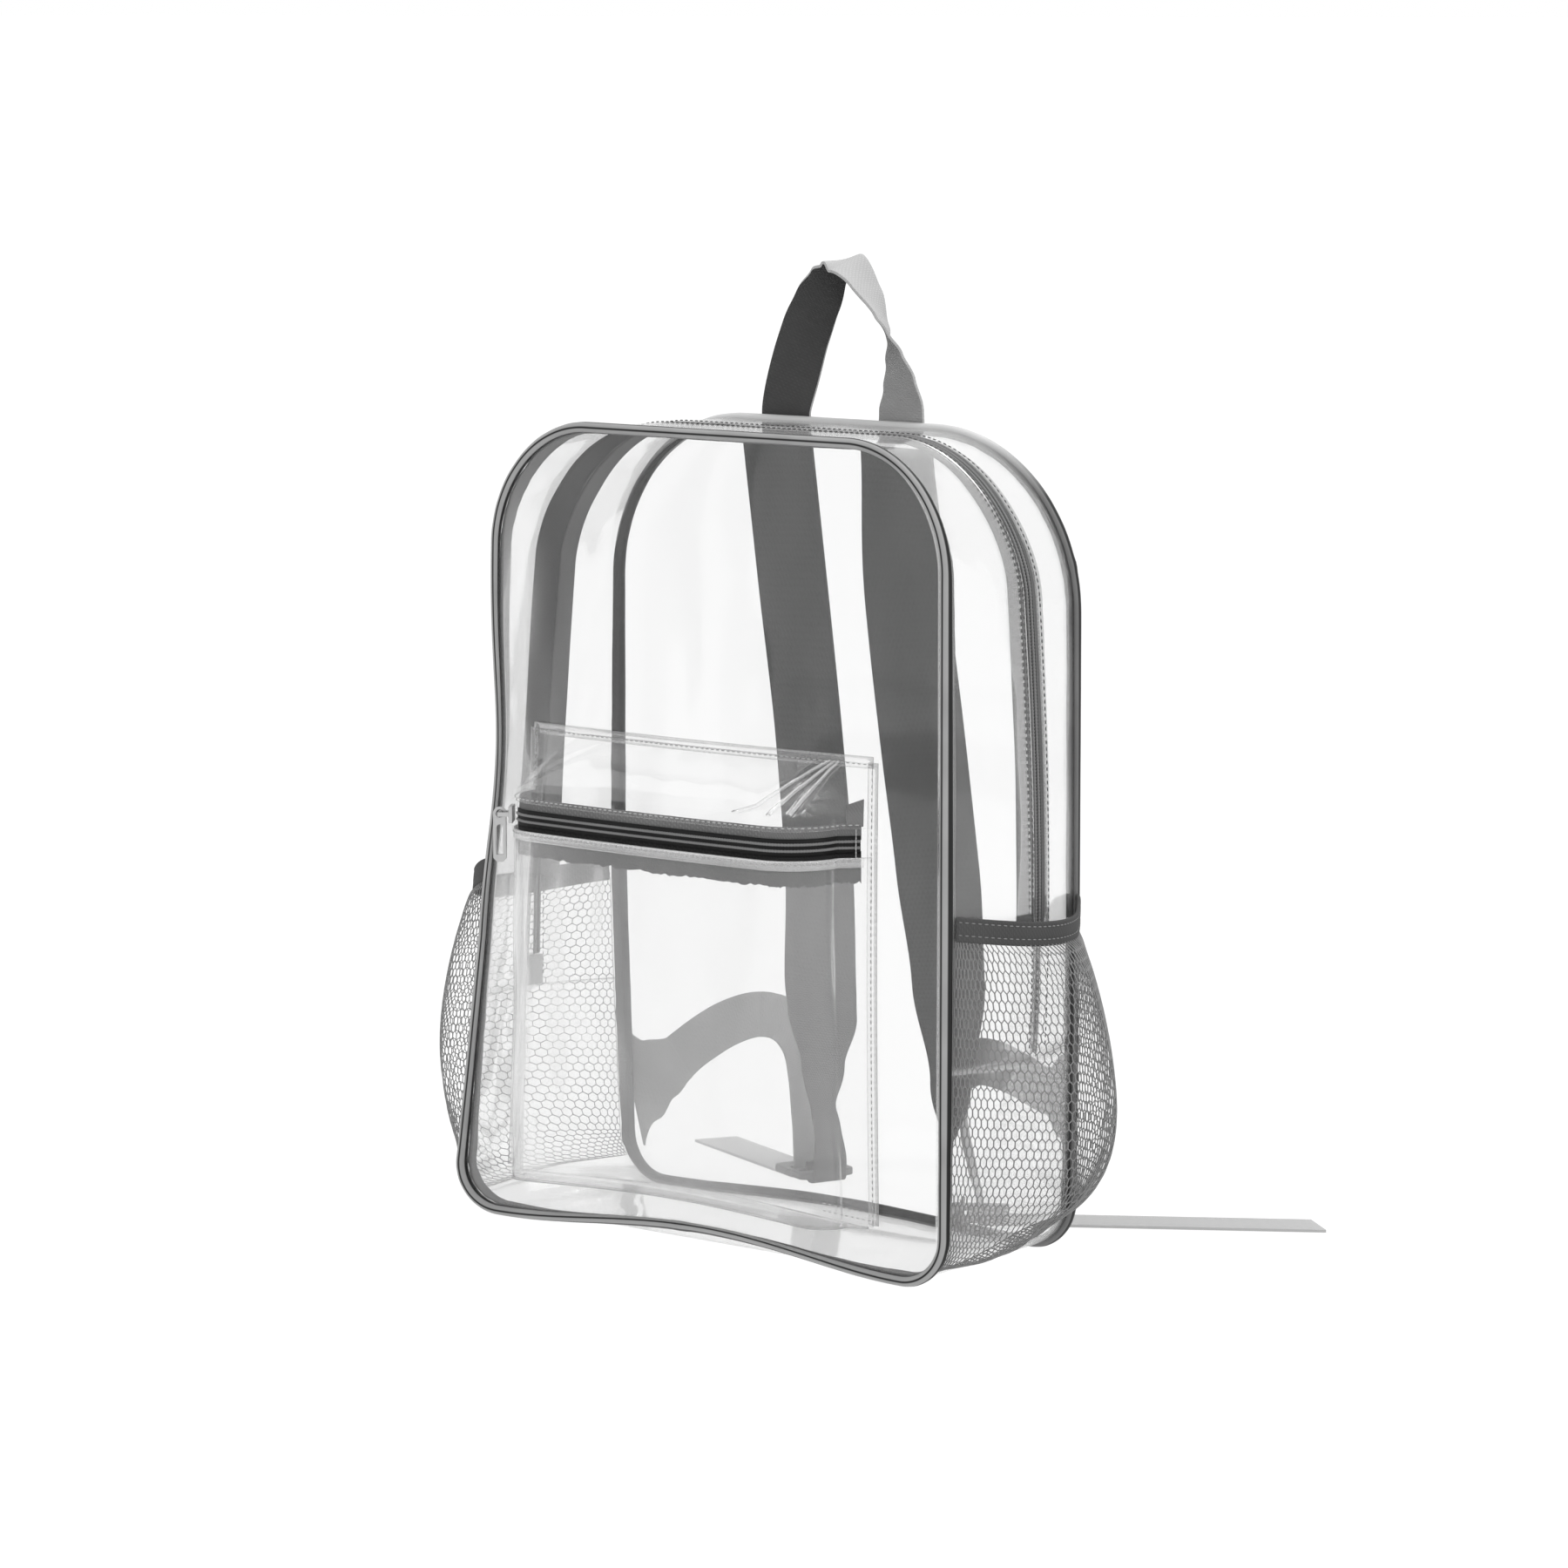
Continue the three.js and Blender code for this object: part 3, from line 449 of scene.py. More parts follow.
def station(turn, depthShare):
    wrapped = turn - fullLoop if turn > halfLoop else turn
    mirror = -1 if wrapped < 0 else 1
    k = abs(wrapped)
    radius = lerp(bag["frontTop"], bag["backTop"], clamp(depthShare))
    baseEnd = bag["half"] - bag["bottom"]
    topEnd = bag["half"] - radius
    shoulder = bag["height"] - radius
    if k <= cells["base"]:
        x, z, nx, nz = baseEnd * k / cells["base"], 0, 0, -1
    elif k <= sideAt:
        angle = (k - cells["base"]) / cells["lowCorner"] * math.pi / 2
        nx, nz = math.sin(angle), -math.cos(angle)
        x, z = baseEnd + bag["bottom"] * nx, bag["bottom"] * (1 + nz)
    elif k <= zipAt:
        z = lerp(bag["bottom"], bag["zipEnd"], (k - sideAt) / cells["lowSide"])
        x, nx, nz = bag["half"], 1, 0
    elif k <= topCornerAt:
        z = lerp(bag["zipEnd"], shoulder, (k - zipAt) / cells["highSide"])
        x, nx, nz = bag["half"], 1, 0
    elif k <= topAt:
        angle = (k - topCornerAt) / cells["topCorner"] * math.pi / 2
        nx, nz = math.cos(angle), math.sin(angle)
        x, z = topEnd + radius * nx, shoulder + radius * nz
    else:
        x, z, nx, nz = topEnd * (1 - (k - topAt) / cells["top"]), bag["height"], 0, 1
    return mirror * x, z, mirror * nx, nz


def settle(x, y, z):
    deep = (y - bag["front"]) / bag["depth"]
    high = z / bag["height"]
    wide = clamp(x / bag["half"], -1, 1)
    lean = lerp(bag["bottomDepth"], bag["topDepth"], high) / bag["depth"]
    spread = 1 + (1 - deep) * lerp(bag["bottomSpread"], bag["topSpread"], high)
    hand = "left" if x < 0 else "right"
    bulge = bag["bulge"][hand] * arch(max(high, 0) ** bag["rise"][hand]) * arch(deep) * wide ** 8
    cornerOut = bag["leftCorner"] * clamp(1 - z / bag["cornerHeight"]) ** 1.2 * (1 - deep) * wide ** 2
    backOut = bag["leftBackOut"] * smooth(high * 2) * smooth((deep - 0.45) * 2)
    backIn = (bag["leftBackIn"] * deep - backOut) * abs(wide)
    drawn = bag["leftWaist"]
    near = math.exp(-(((high - drawn["height"]) / drawn["spread"]) ** 2))
    waist = drawn["deep"] * near * clamp(1 - deep) ** 2 * wide ** 4
    leftShift = backIn - cornerOut + waist if x < 0 else 0
    baseShare = clamp(x / (bag["half"] - bag["bottom"]), -1, 1)
    middle = (1 - baseShare ** 2) ** 2
    low = clamp(1 - z / bag["bowHeight"]) ** 2
    nearFront = clamp(1 - deep / bag["rim"])
    nearBack = clamp(1 - (1 - deep) / bag["rim"])
    lift = (bag["frontBow"] * nearFront + bag["backBow"] * nearBack) * middle * low
    flatAcross = clamp((1 - abs(baseShare)) / 0.25)
    flatDeep = clamp(min(deep, 1 - deep) / bag["rim"])
    sag = wallInset * flatAcross * flatDeep * clamp(1 - (z - 10) / 30)
    side = math.copysign(bulge, x)
    leant = bag["back"] - (bag["back"] - y) * lean
    return Vector((x * spread + side + leftShift, leant, z + lift - sag))


def skin(turn, y, inset):
    x, z, nx, nz = station(turn, (y - bag["front"]) / bag["depth"])
    return settle(x - nx * inset, y, z - nz * inset)


def panelBulge(x, z, amount):
    return amount * (1 - clamp(x / bag["half"], -1, 1) ** 2) * arch(z / bag["height"])


# Clear front and back panels, with soft waves
panels = {
    "frontPanel": {
        "node": "front_panel", "middle": frontCord, "bulge": -bag["frontBulge"], "wave": 1.6, "seed": 1,
    },
    "backPanel": {
        "node": "back_panel", "middle": backCord, "bulge": bag["backBulge"], "wave": 1.2, "seed": 2,
    },
}
panelInset = 4.2
sheetThick = 0.6


def addPanel(name, part):
    deep = (part["middle"] - bag["front"]) / bag["depth"]

    def place(across, up):
        x, z, nx, nz = station(lerp(cells["base"], topAt, up), deep)
        x = (2 * across - 1) * (x - nx * panelInset)
        z = z - nz * panelInset
        edge = smooth((1 - abs(2 * across - 1)) * 5) * arch(up)
        wave = ripple(part["seed"], x / 55, z / 150) + 0.5 * ripple(part["seed"] + 3, x / 24, z / 60)
        y = part["middle"] + panelBulge(x, z, part["bulge"]) + part["wave"] * wave * edge
        return settle(x, y, z)

    made = asObject(name, bentGrid((64, 84), place, (300, 420)), "clear")
    made.data.materials.append(looks["edge"])
    thicken(made, sheetThick)
    settlePiece(made, [part["node"]])


for panelName, panelPart in panels.items():
    addPanel(panelName, panelPart)

# Clear gusset strips over the top, and the base with the lower sides
tapeFrom = zipAt + 1.3
seamTuck = 3
zipClear = 5
slotCover = 4.8


def slotShare(turn):
    return smooth((halfLoop - abs(turn - halfLoop) - tapeFrom) * 4)


gussets = {
    "frontGusset": {
        "node": "front_gusset", "turns": (zipAt, fullLoop - zipAt), "cells": (180, 16), "seed": 4,
        "depths": (frontEdge - seamTuck, zipMiddle - zipClear), "zipSide": 1,
    },
    "backGusset": {
        "node": "back_gusset", "turns": (zipAt, fullLoop - zipAt), "cells": (180, 14), "seed": 5,
        "depths": (zipMiddle + zipClear, backEdge + seamTuck), "zipSide": -1,
    },
    "baseGusset": {
        "node": "base_gusset", "turns": (-zipAt, zipAt), "cells": (150, 36), "seed": 6,
        "depths": (frontEdge - seamTuck, backEdge + seamTuck), "zipSide": 0,
    },
}


def addGusset(name, part):
    seed, zipSide = part["seed"], part["zipSide"]

    def place(along, across):
        turn = lerp(*part["turns"], along)
        y = lerp(*part["depths"], across)
        if zipSide:
            toZip = across if zipSide > 0 else 1 - across
            y += zipSide * slotCover * (1 - slotShare(turn)) * toZip
            loose = 0.4 + 0.6 * smooth((abs(turn - halfLoop) - 2) / 6)
        else:
            loose = smooth((abs(turn) - 7) / 2)
        wave = ripple(seed, turn * 0.8, y / 40) * 1.2 + ripple(seed + 2, turn * 1.7, y / 16) * 0.5
        return skin(turn, y, wallInset + 0.5 + wave * arch(across) * loose)

    made = asObject(name, bentGrid(part["cells"], place, (900, 60)), "side")
    made.data.materials.append(looks["edge"])
    thicken(made, sheetThick)
    settlePiece(made, [part["node"]])


for gussetName, gussetPart in gussets.items():
    addGusset(gussetName, gussetPart)
print("clear walls made")

# Corded piping along both edges, with an overlap where its ends meet
pipings = {
    "frontPiping": {"node": "front_piping", "middle": frontCord, "joint": -0.4},
    "backPiping": {"node": "back_piping", "middle": backCord, "joint": 17.2},
}


def addPiping(name, part):
    def place(along, around):
        turn = along * fullLoop - halfLoop
        angle = around * 2 * math.pi
        lap = 0.35 * smooth(1 - abs(turn - part["joint"]) * 4)
        radius = bag["cord"] * (1 + 0.04 * ripple(8, turn * 2, 0)) + lap
        y = part["middle"] + radius * math.sin(angle)
        return skin(turn, y, bag["cord"] - radius * math.cos(angle))

    made = asObject(name, bentGrid((416, 16), place, (piping["long"], piping["round"]), True), name)
    settlePiece(made, [part["node"]])


for pipingName, pipingPart in pipings.items():
    addPiping(pipingName, pipingPart)

# Tape over the seam edges inside, wider on the upper left in front
bindings = {
    "frontBinding": {"node": "front_binding", "start": frontEdge, "way": 1, "wide": 5.5, "left": 0.7},
    "backBinding": {"node": "back_binding", "start": backEdge, "way": -1, "wide": 3.5, "left": 0},
}


def addBinding(name, part):
    def place(along, across):
        turn = along * fullLoop - halfLoop
        upperLeft = smooth((-turn - zipAt) / 4) * smooth((turn + topAt) / 3)
        wide = part["wide"] * (1 + part["left"] * upperLeft)
        y = part["start"] + part["way"] * (across * wide - 1)
        waver = 0.5 * ripple(9, turn * 3, across)
        return skin(turn, y + waver, lining + 1.8 + 0.4 * ripple(10, turn * 2, across * 2))

    made = asObject(name, bentGrid((312, 4), place, (1400, part["wide"]), True), name)
    thicken(made, 1.4, 0.4)
    settlePiece(made, [part["node"]])


for bindingName, bindingPart in bindings.items():
    addBinding(bindingName, bindingPart)
print("piping made")

# Main zip: two tapes and the coil's teeth
zipTapes = {
    "frontZipTape": {"node": "front_zip_tape", "way": -1, "look": "frontTape", "wide": (15, 21)},
    "backZipTape": {"node": "back_zip_tape", "way": 1, "look": "backTape", "wide": (13, 13)},
}


def addZipTape(name, part):
    def place(along, across):
        turn = lerp(tapeFrom, fullLoop - tapeFrom, along)
        wide = lerp(*part["wide"], smooth((turn - halfLoop) / 4))
        y = zipMiddle + part["way"] * (0.2 + across * wide)
        return skin(turn, y, lining + 0.7 + 0.3 * ripple(11, turn, across))

    made = asObject(name, bentGrid((240, 6), place, (900, 16)), part["look"])
    thicken(made, 0.7)
    settlePiece(made, [part["node"]])


for tapeName, tapePart in zipTapes.items():
    addZipTape(tapeName, tapePart)


# A zip's closed coil: a near-black bed wider than the teeth, painted shadow along the coil, and two ridges
# of turned nylon, each turn a real bump
def addCoil(name, part):
    def spotAt(share):
        return part["path"](lerp(part["start"], part["end"], clamp(share)))

    lengths = lengthsAlong(lambda share: spotAt(share)[0])
    turns = round(lengths[-1] / part["pitch"])

    def across(share):
        t = shareAt(lengths, share)
        spot, out = spotAt(t)
        ahead = (spotAt(t + 0.001)[0] - spotAt(t - 0.001)[0]).normalized()
        return spot, out, ahead.cross(out).normalized()

    def bedPlace(along, side):
        spot, out, way = across(along)
        half = part["bed"] * lerp(part["slim"], 1, smooth((min(along, 1 - along) - 0.06) * 40))
        return spot + way * ((2 * side - 1) * half) - out * 0.4

    def ridgePlace(middle):
        def place(along, around):
            spot, out, way = across(along)
            angle = around * 2 * math.pi
            radius = part["radius"] * (1 + 0.16 * math.sin(along * turns * 2 * math.pi))
            return spot + way * (middle + radius * math.cos(angle)) + out * (radius * math.sin(angle))

        return place

    # The near-black bed under and beside the teeth is painted shadow
    bed = asObject(name + "Bed", bentGrid((200, 4), bedPlace, (lengths[-1], 2 * part["bed"])), "coil")
    thicken(bed, 0.5)
    settlePiece(bed)
    rows = (-part["spread"], part["spread"])
    ridges = [bentGrid((turns * 4, 6), ridgePlace(middle), (lengths[-1], 6), True) for middle in rows]
    settlePiece(asObject(name, joined(ridges), "ridge"), [part["node"]])


def mainZipPath(turn):
    spot = skin(turn, zipMiddle, bag["cord"] + 0.9)
    out = skin(turn, zipMiddle, bag["cord"]) - spot
    return spot, out.normalized()


mainZip = {
    "node": "main_zip_coil", "path": mainZipPath, "start": zipAt + 0.05, "end": fullLoop - zipAt - 0.38,
    "pitch": 1.7, "spread": 1.5, "radius": 0.9, "bed": 3.8, "slim": 0.5,
}
addCoil("mainZipCoil", mainZip)


zipSeams = (-7.2, 7.2)


def zipSeam(side):
    def run(share):
        turn = lerp(zipAt + 0.1, fullLoop - zipAt - 0.1, share)
        return skin(turn, zipMiddle + side, wallInset - 0.1)

    return run


addStitches("mainZipStitches", [zipSeam(side) for side in zipSeams])
print("main zip made")

# Net pockets on the sides, of real strands, with a bound elastic mouth; foot is the share under the side
pocket = {
    "frontTop": 190, "backTop": {"left": 178, "right": 184}, "dip": {"left": 13, "right": 3},
    "belly": {"left": 37, "right": 43}, "mouth": {"left": 18, "right": 10}, "elastic": 12,
    "strand": {"left": 0.6, "right": 0.74}, "across": {"left": 60, "right": 98}, "even": 0.75, "curl": 5,
    "rows": {"left": 42, "right": 38}, "seam": {"left": 1.4, "right": 0.5}, "frontSeam": 1.9,
    "foot": 0.2, "pleats": 44, "pleatDeep": 1.2, "zigzag": 0.18,
}


def mouthHeight(hand, deep):
    return lerp(pocket["frontTop"], pocket["backTop"][hand], deep) - pocket["dip"][hand] * arch(deep)


def pocketPoint(hand, deep, spot, up, out):
    side = -1 if hand == "left" else 1
    x, z, nx, nz = spot
    belly = pocket["belly"][hand] * arch(up ** 0.85) ** lerp(1, 0.65, up) + pocket["mouth"][hand] * up
    inset = wallInset - 0.5 - arch(deep) ** 0.75 * belly - out
    return settle(side * (x - nx * inset), lerp(frontEdge, backEdge, deep), z - nz * inset)


def netPlace(hand):
    def place(across, share):
        deep = lerp(across, 0.5 - 0.5 * math.cos(math.pi * across), pocket["even"])
        top = mouthHeight(hand, deep) - pocket["elastic"] + 1
        low = sideAt - lerp(pocket["frontSeam"], pocket["seam"][hand], smooth(deep * 1.5))
        seamHeight = station(low, 0.5)[1]
        foot = pocket["foot"]
        if share < foot:
            x, z, nx, nz = station(lerp(low, sideAt, share / foot), 0.5)
            spot = (x, z, lerp(nx, 1, share / foot), nz)
        else:
            spot = (bag["half"], lerp(bag["bottom"], top, (share - foot) / (1 - foot)), 1, 0)
        full = arch(deep) * (0.2 + 0.8 * (1 - share) ** 2)
        pleat = math.sin(deep * pocket["pleats"]) * pocket["pleatDeep"] * full
        rise = clamp((spot[1] - seamHeight) / (top - seamHeight))
        return pocketPoint(hand, deep, spot, rise ** 0.8, 0.5 + pleat * smooth(share * 6))

    return place


def addNet(hand):
    bm = bmesh.new()
    across, rows = pocket["across"][hand], pocket["rows"][hand]
    bmesh.ops.create_grid(bm, x_segments=across, y_segments=rows, size=0.5)
    dropped = []
    for edge in bm.edges:
        first, second = (vert.co for vert in edge.verts)
        if abs(first.x - second.x) > 1e-6 or not edge.is_manifold:
            continue
        column = round((first.x + 0.5) * across)
        row = round((min(first.y, second.y) + 0.5) * rows)
        if (column + row) % 2:
            dropped.append(edge)
    bmesh.ops.dissolve_edges(bm, edges=dropped, use_verts=False)
    place = netPlace(hand)
    for vert in bm.verts:
        column = round((vert.co.x + 0.5) * across)
        row = round((vert.co.y + 0.5) * rows)
        zigzag = pocket["zigzag"] / rows * (-1 if (column + row) % 2 else 1)
        share = clamp(vert.co.y + 0.5 + (zigzag if 0 < row < rows else 0))
        vert.co = place(vert.co.x + 0.5, share) * mm
    made = asObject(hand + "Net", bm, hand + "Net")
    strands = made.modifiers.new("strands", "WIREFRAME")
    strands.thickness = pocket["strand"][hand] * mm
    strands.use_even_offset = False
    settlePiece(made, ["mesh_pocket_" + hand])


elasticRows = (0.28, 0.8)


def addElastic(hand):
    def place(deep, share):
        top = mouthHeight(hand, deep)
        z = lerp(top - pocket["elastic"] - 0.5, top, share)
        z += pocket["curl"] * smooth((deep - 0.78) / 0.22) * (hand == "right")
        groove = 0.35 * sum(math.exp(-(((share - row) / 0.06) ** 2)) for row in elasticRows)
        out = 1 - groove + 0.3 * ripple(26, deep * 9, share)
        return pocketPoint(hand, deep, (bag["half"], z, 1, 0), 1, out)

    def stitchRun(row):
        return lambda deep: place(deep, row) + Vector((-1.2 if hand == "left" else 1.2, 0, 0))

    made = asObject(hand + "Elastic", bentGrid((80, 14), place, (150, 12)), "elastic")
    thicken(made, 2.0, 0.7)
    settlePiece(made, ["pocket_elastic_" + hand])
    addStitches(hand + "ElasticStitches", [stitchRun(row) for row in elasticRows], "midThread")


for pocketHand in ("left", "right"):
    addNet(pocketHand)
    addElastic(pocketHand)
print("net pockets made")

# Clear front pocket with its zip
box = {
    "middle": -4, "half": 116, "cornerIn": 12, "bottom": 28, "bottomReach": 24, "zipReach": 40, "zip": 223,
    "bodyTop": 214.5, "hemBottom": 231, "hemTop": 237, "seamTop": 264, "seamGap": 1.2, "hemShare": 0.2,
}
planFront = 3
planCorner = 7
planHalf = 9


def pocketReach(z):
    share = clamp((z - box["bottom"]) / (box["zip"] - box["bottom"]))
    return lerp(box["bottomReach"], box["zipReach"], share ** 0.8)


def plan(turn, reach):
    k = abs(turn)
    radius = 0.68 * reach
    straight = box["half"] - box["cornerIn"] - radius
    if k <= planFront:
        across, out = straight * k / planFront, reach
    elif k <= planCorner:
        angle = (k - planFront) / (planCorner - planFront) * math.pi / 2
        across, out = straight + radius * math.sin(angle), reach - radius * (1 - math.cos(angle))
    else:
        share = (k - planCorner) / (planHalf - planCorner)
        across = lerp(straight + radius, box["half"], share)
        out = lerp(reach - radius, box["seamGap"], share)
    return Vector((math.copysign(across, turn), out))


def planNormal(turn, reach):
    ahead = plan(min(turn + 0.05, planHalf), reach)
    behind = plan(max(turn - 0.05, -planHalf), reach)
    along = (ahead - behind).normalized()
    return Vector((-along.y, along.x))


def onFrontPanel(across, out, z):
    x = box["middle"] + across
    face = frontCord - bag["wall"] / 2 + panelBulge(x, z, -bag["frontBulge"])
    return settle(x, face - out, z)


def pocketWall(turn, z, out):
    reach = pocketReach(z)
    spot = plan(turn, reach) + planNormal(turn, reach) * out
    return onFrontPanel(spot.x, spot.y, z)


def bodyPlace(along, up):
    turn = lerp(-planHalf, planHalf, along)
    z = lerp(box["bottom"], box["bodyTop"] + 2, up)
    wave = ripple(21, turn * 0.5, z / 70) * 1.5 + ripple(22, turn * 1.1, z / 28) * 0.6
    held = arch(up) * smooth((planHalf - abs(turn)) / 2)
    return pocketWall(turn, z, -0.5 + wave * held)


def basePlace(along, across):
    spot = plan(lerp(-planHalf + 0.5, planHalf - 0.5, along), box["bottomReach"])
    return onFrontPanel(spot.x, lerp(box["seamGap"], spot.y, across), box["bottom"] - 0.8)


# Creases of the pocket's top: its turn at the top seam and at the hem, its depth, and its width in turns
creases = [
    {"from": 7.4, "to": 4.5, "deep": 2.2, "wide": 0.26},
    {"from": 7.2, "to": 3.5, "deep": 2.2, "wide": 0.28},
    {"from": 7.0, "to": 2.4, "deep": 1.6, "wide": 0.3},
    {"from": -6.2, "to": -7.4, "deep": 2.0, "wide": 0.3},
    {"from": -4.0, "to": -5.0, "deep": 1.2, "wide": 0.4},
]
folded = 3


def creaseAt(turn, slope):
    total = 0.0
    for crease in creases:
        off = (turn - lerp(crease["from"], crease["to"], slope)) / crease["wide"]
        total += crease["deep"] * math.exp(-off * off) * arch(0.08 + 0.9 * slope)
    return total


def topPlace(along, up):
    turn = lerp(-planHalf, planHalf, along)
    spot = plan(turn, box["zipReach"])
    normal = planNormal(turn, box["zipReach"])
    slope = clamp((up - box["hemShare"]) / (1 - box["hemShare"]))
    if up >= box["hemShare"]:
        z = lerp(box["hemTop"], box["seamTop"], slope ** 0.85)
    else:
        z = lerp(box["hemBottom"], box["hemTop"], up / box["hemShare"])
    across = lerp(spot.x, turn / planHalf * box["half"], slope)
    out = lerp(spot.y, box["seamGap"] + 0.2, slope ** 1.1)
    sink = creaseAt(turn, 1 - slope) - ripple(23, turn * 0.9, slope * 2) * 0.8 * arch(slope)
    held = smooth((planHalf - abs(turn)) / 1.5)
    lowered = sink * held if slope > 0 else 0
    out = max(out - 0.5 * normal.y - 0.4 * lowered, 0.4)
    return onFrontPanel(across - 0.5 * normal.x, out, z - 0.5 * min(slope * 4, 1) - 0.7 * lowered)


def addClear(name, node, cellCounts, place, size, look="pocket"):
    made = asObject(name, bentGrid(cellCounts, place, size), look)
    made.data.materials.append(looks["edge"])
    thicken(made, 0.8)
    settlePiece(made, [node])


addClear("pocketBody", "front_pocket_body", (120, 48), bodyPlace, (290, 190))
addClear("pocketBase", "front_pocket_base", (80, 8), basePlace, (240, 24))
addClear("pocketTop", "front_pocket_top", (150, 30), topPlace, (290, 45), "pocketTop")


zipTurns = (-4.6, 8.35)
tapeTurns = (-8.6, 8.4)
tapeThick = 0.7


# Beyond the slider the upper tape drops to meet the lower one
def addPocketTape(name, node, heights, look, ragged, drop):
    def place(along, up):
        turn = lerp(*tapeTurns, along)
        low = heights[0] - drop * smooth((zipTurns[0] - turn) * 2)
        z = lerp(low, heights[1], up)
        z += ragged * ripple(24, turn * 9, 0) * (1 - up)
        return pocketWall(turn, z, -2.5 + 0.25 * ripple(25, turn * 2, up * 2))

    made = asObject(name, bentGrid((160, 6), place, (280, heights[1] - heights[0])), look)
    thicken(made, tapeThick)
    settlePiece(made, [node])


addPocketTape("pocketUpperTape", "pocket_zip_upper_tape", (225.2, 233.4), "upperTape", 0.0, 5.4)
addPocketTape("pocketLowerTape", "pocket_zip_lower_tape", (203.4, 219.6), "lowerTape", 1.6, 0.0)


# The tape's loose end at the right, and the bar tack across the zip there
def tapeEndPlace(along, up):
    turn = lerp(7.5, 8.5, along)
    return pocketWall(turn, lerp(232, 243 + 3 * along, up), -1.4 + 1.5 * up * along)


tapeEnd = asObject("pocketTapeEnd", bentGrid((10, 8), tapeEndPlace, (14, 12)), "upperTape")
thicken(tapeEnd, tapeThick)
settlePiece(tapeEnd)


def barTack(share):
    return pocketWall(8.05, lerp(216.5, 231, share), 0.9)


addStitches("pocketBarTack", [barTack], "paleThread", 1.8)


def pocketZipPath(turn):
    spot = pocketWall(turn, box["zip"], -1.2)
    return spot, (pocketWall(turn, box["zip"], 0) - spot).normalized()


pocketZip = {
    "node": "pocket_zip_coil", "path": pocketZipPath, "start": zipTurns[0], "end": zipTurns[1],
    "pitch": 1.6, "spread": 1.6, "radius": 0.75, "bed": 4.4, "slim": 1,
}
addCoil("pocketZipCoil", pocketZip)

# Seams of the pocket: a doubled hem under the zip, clear strips on the panel, folds, and stitches
seam = {"half": 3, "out": 1.0, "top": 264, "bottom": 29, "hem": (211.5, 216.5)}


def hemPlace(along, up):
    return pocketWall(lerp(-planHalf + 0.3, planHalf - 0.5, along), lerp(*seam["hem"], up), 0.3)


def sideSeam(side, off):
    def run(share):
        z = lerp(seam["bottom"], seam["top"], share)
        return onFrontPanel(side * (box["half"] + off), seam["out"], z)

    return run


def levelSeam(z, start=-1.0, end=1.0):
    return lambda share: onFrontPanel(lerp(start, end, share) * box["half"], seam["out"], z)


def wallRun(z, out, start=-8.4, end=8.3):
    return lambda share: pocketWall(lerp(start, end, share), z, out)


def sideStrip(side):
    return lambda along, wide: sideSeam(side, lerp(-seam["half"], seam["half"], wide))(along)


def topStrip(along, wide):
    return levelSeam(seam["top"] + lerp(-seam["half"], seam["half"], wide))(along)


def foldPlace(crease):
    def place(along, wide):
        turn = lerp(crease["from"], crease["to"], along) + (wide - 0.5) * lerp(0.06, 0.2, along)
        spot = topPlace((turn + planHalf) / (2 * planHalf), 1 - 0.8 * along * 0.95)
        return spot + Vector((0, -0.6 * arch(wide), 1.1 * arch(wide)))

    return place


def addHems():
    strips = [bentGrid((40, 2), sideStrip(side), (236, 6)) for side in (-1, 1)]
    strips.append(bentGrid((60, 2), topStrip, (232, 6)))
    folds = [bentGrid((24, 4), foldPlace(crease), (40, 3)) for crease in creases[:folded]]
    for name, grid, look in (
        ("pocketHem", bentGrid((120, 3), hemPlace, (280, 5)), "hem"),
        ("pocketSeams", joined(strips), "pocket"),
        ("pocketFolds", joined(folds), "hem"),
    ):
        made = asObject(name, grid, look)
        made.data.materials.append(looks["edge"])
        thicken(made, 0.5)
        settlePiece(made)


addHems()
sideRuns = [sideSeam(side, -0.6) for side in (-1, 1)]
levelRuns = [levelSeam(seam["top"] - 1)]
levelRuns += [levelSeam(seam["bottom"] + rise, 0.72, 0.99) for rise in (2, 6)]
addStitches("pocketSeamStitches", sideRuns + levelRuns, "paleThread")
addStitches("pocketZipStitches", [wallRun(214.8, 0.8), wallRun(233, 0.4)], "paleThread")
print("front pocket made")


# Hard pieces: copies of the CAD shapes with rounded edges
def addRounded(name, node, edge, look, body="bag"):
    bm = bmesh.new()
    bm.from_mesh(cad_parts[node].data)
    bmesh.ops.remove_doubles(bm, verts=bm.verts, dist=1e-6)
    sharp = [made for made in bm.edges if len(made.link_faces) == 2 and made.calc_face_angle() > 0.5]
    bmesh.ops.bevel(bm, geom=sharp, offset=edge * mm, segments=2, profile=0.5, affect="EDGES", material=-1)
    bmesh.ops.recalc_face_normals(bm, faces=bm.faces)
    made = asObject(name, bm, look)
    made.data.polygons.foreach_set("use_smooth", [False] * len(made.data.polygons))
    settlePiece(made, [node], body)


addRounded("mainZipSlider", "main_zip_slider", 0.5, "metal")
addRounded("pocketSlider", "pocket_zip_slider", 0.35, "metal")
addRounded("pocketPull", "pocket_zip_pull", 0.3, "metal", "zip_pull")
for lockHand in ("left", "right"):
    addRounded(lockHand + "Lock", "ladder_lock_" + lockHand, 0.6, "lock")
print("hard pieces made")


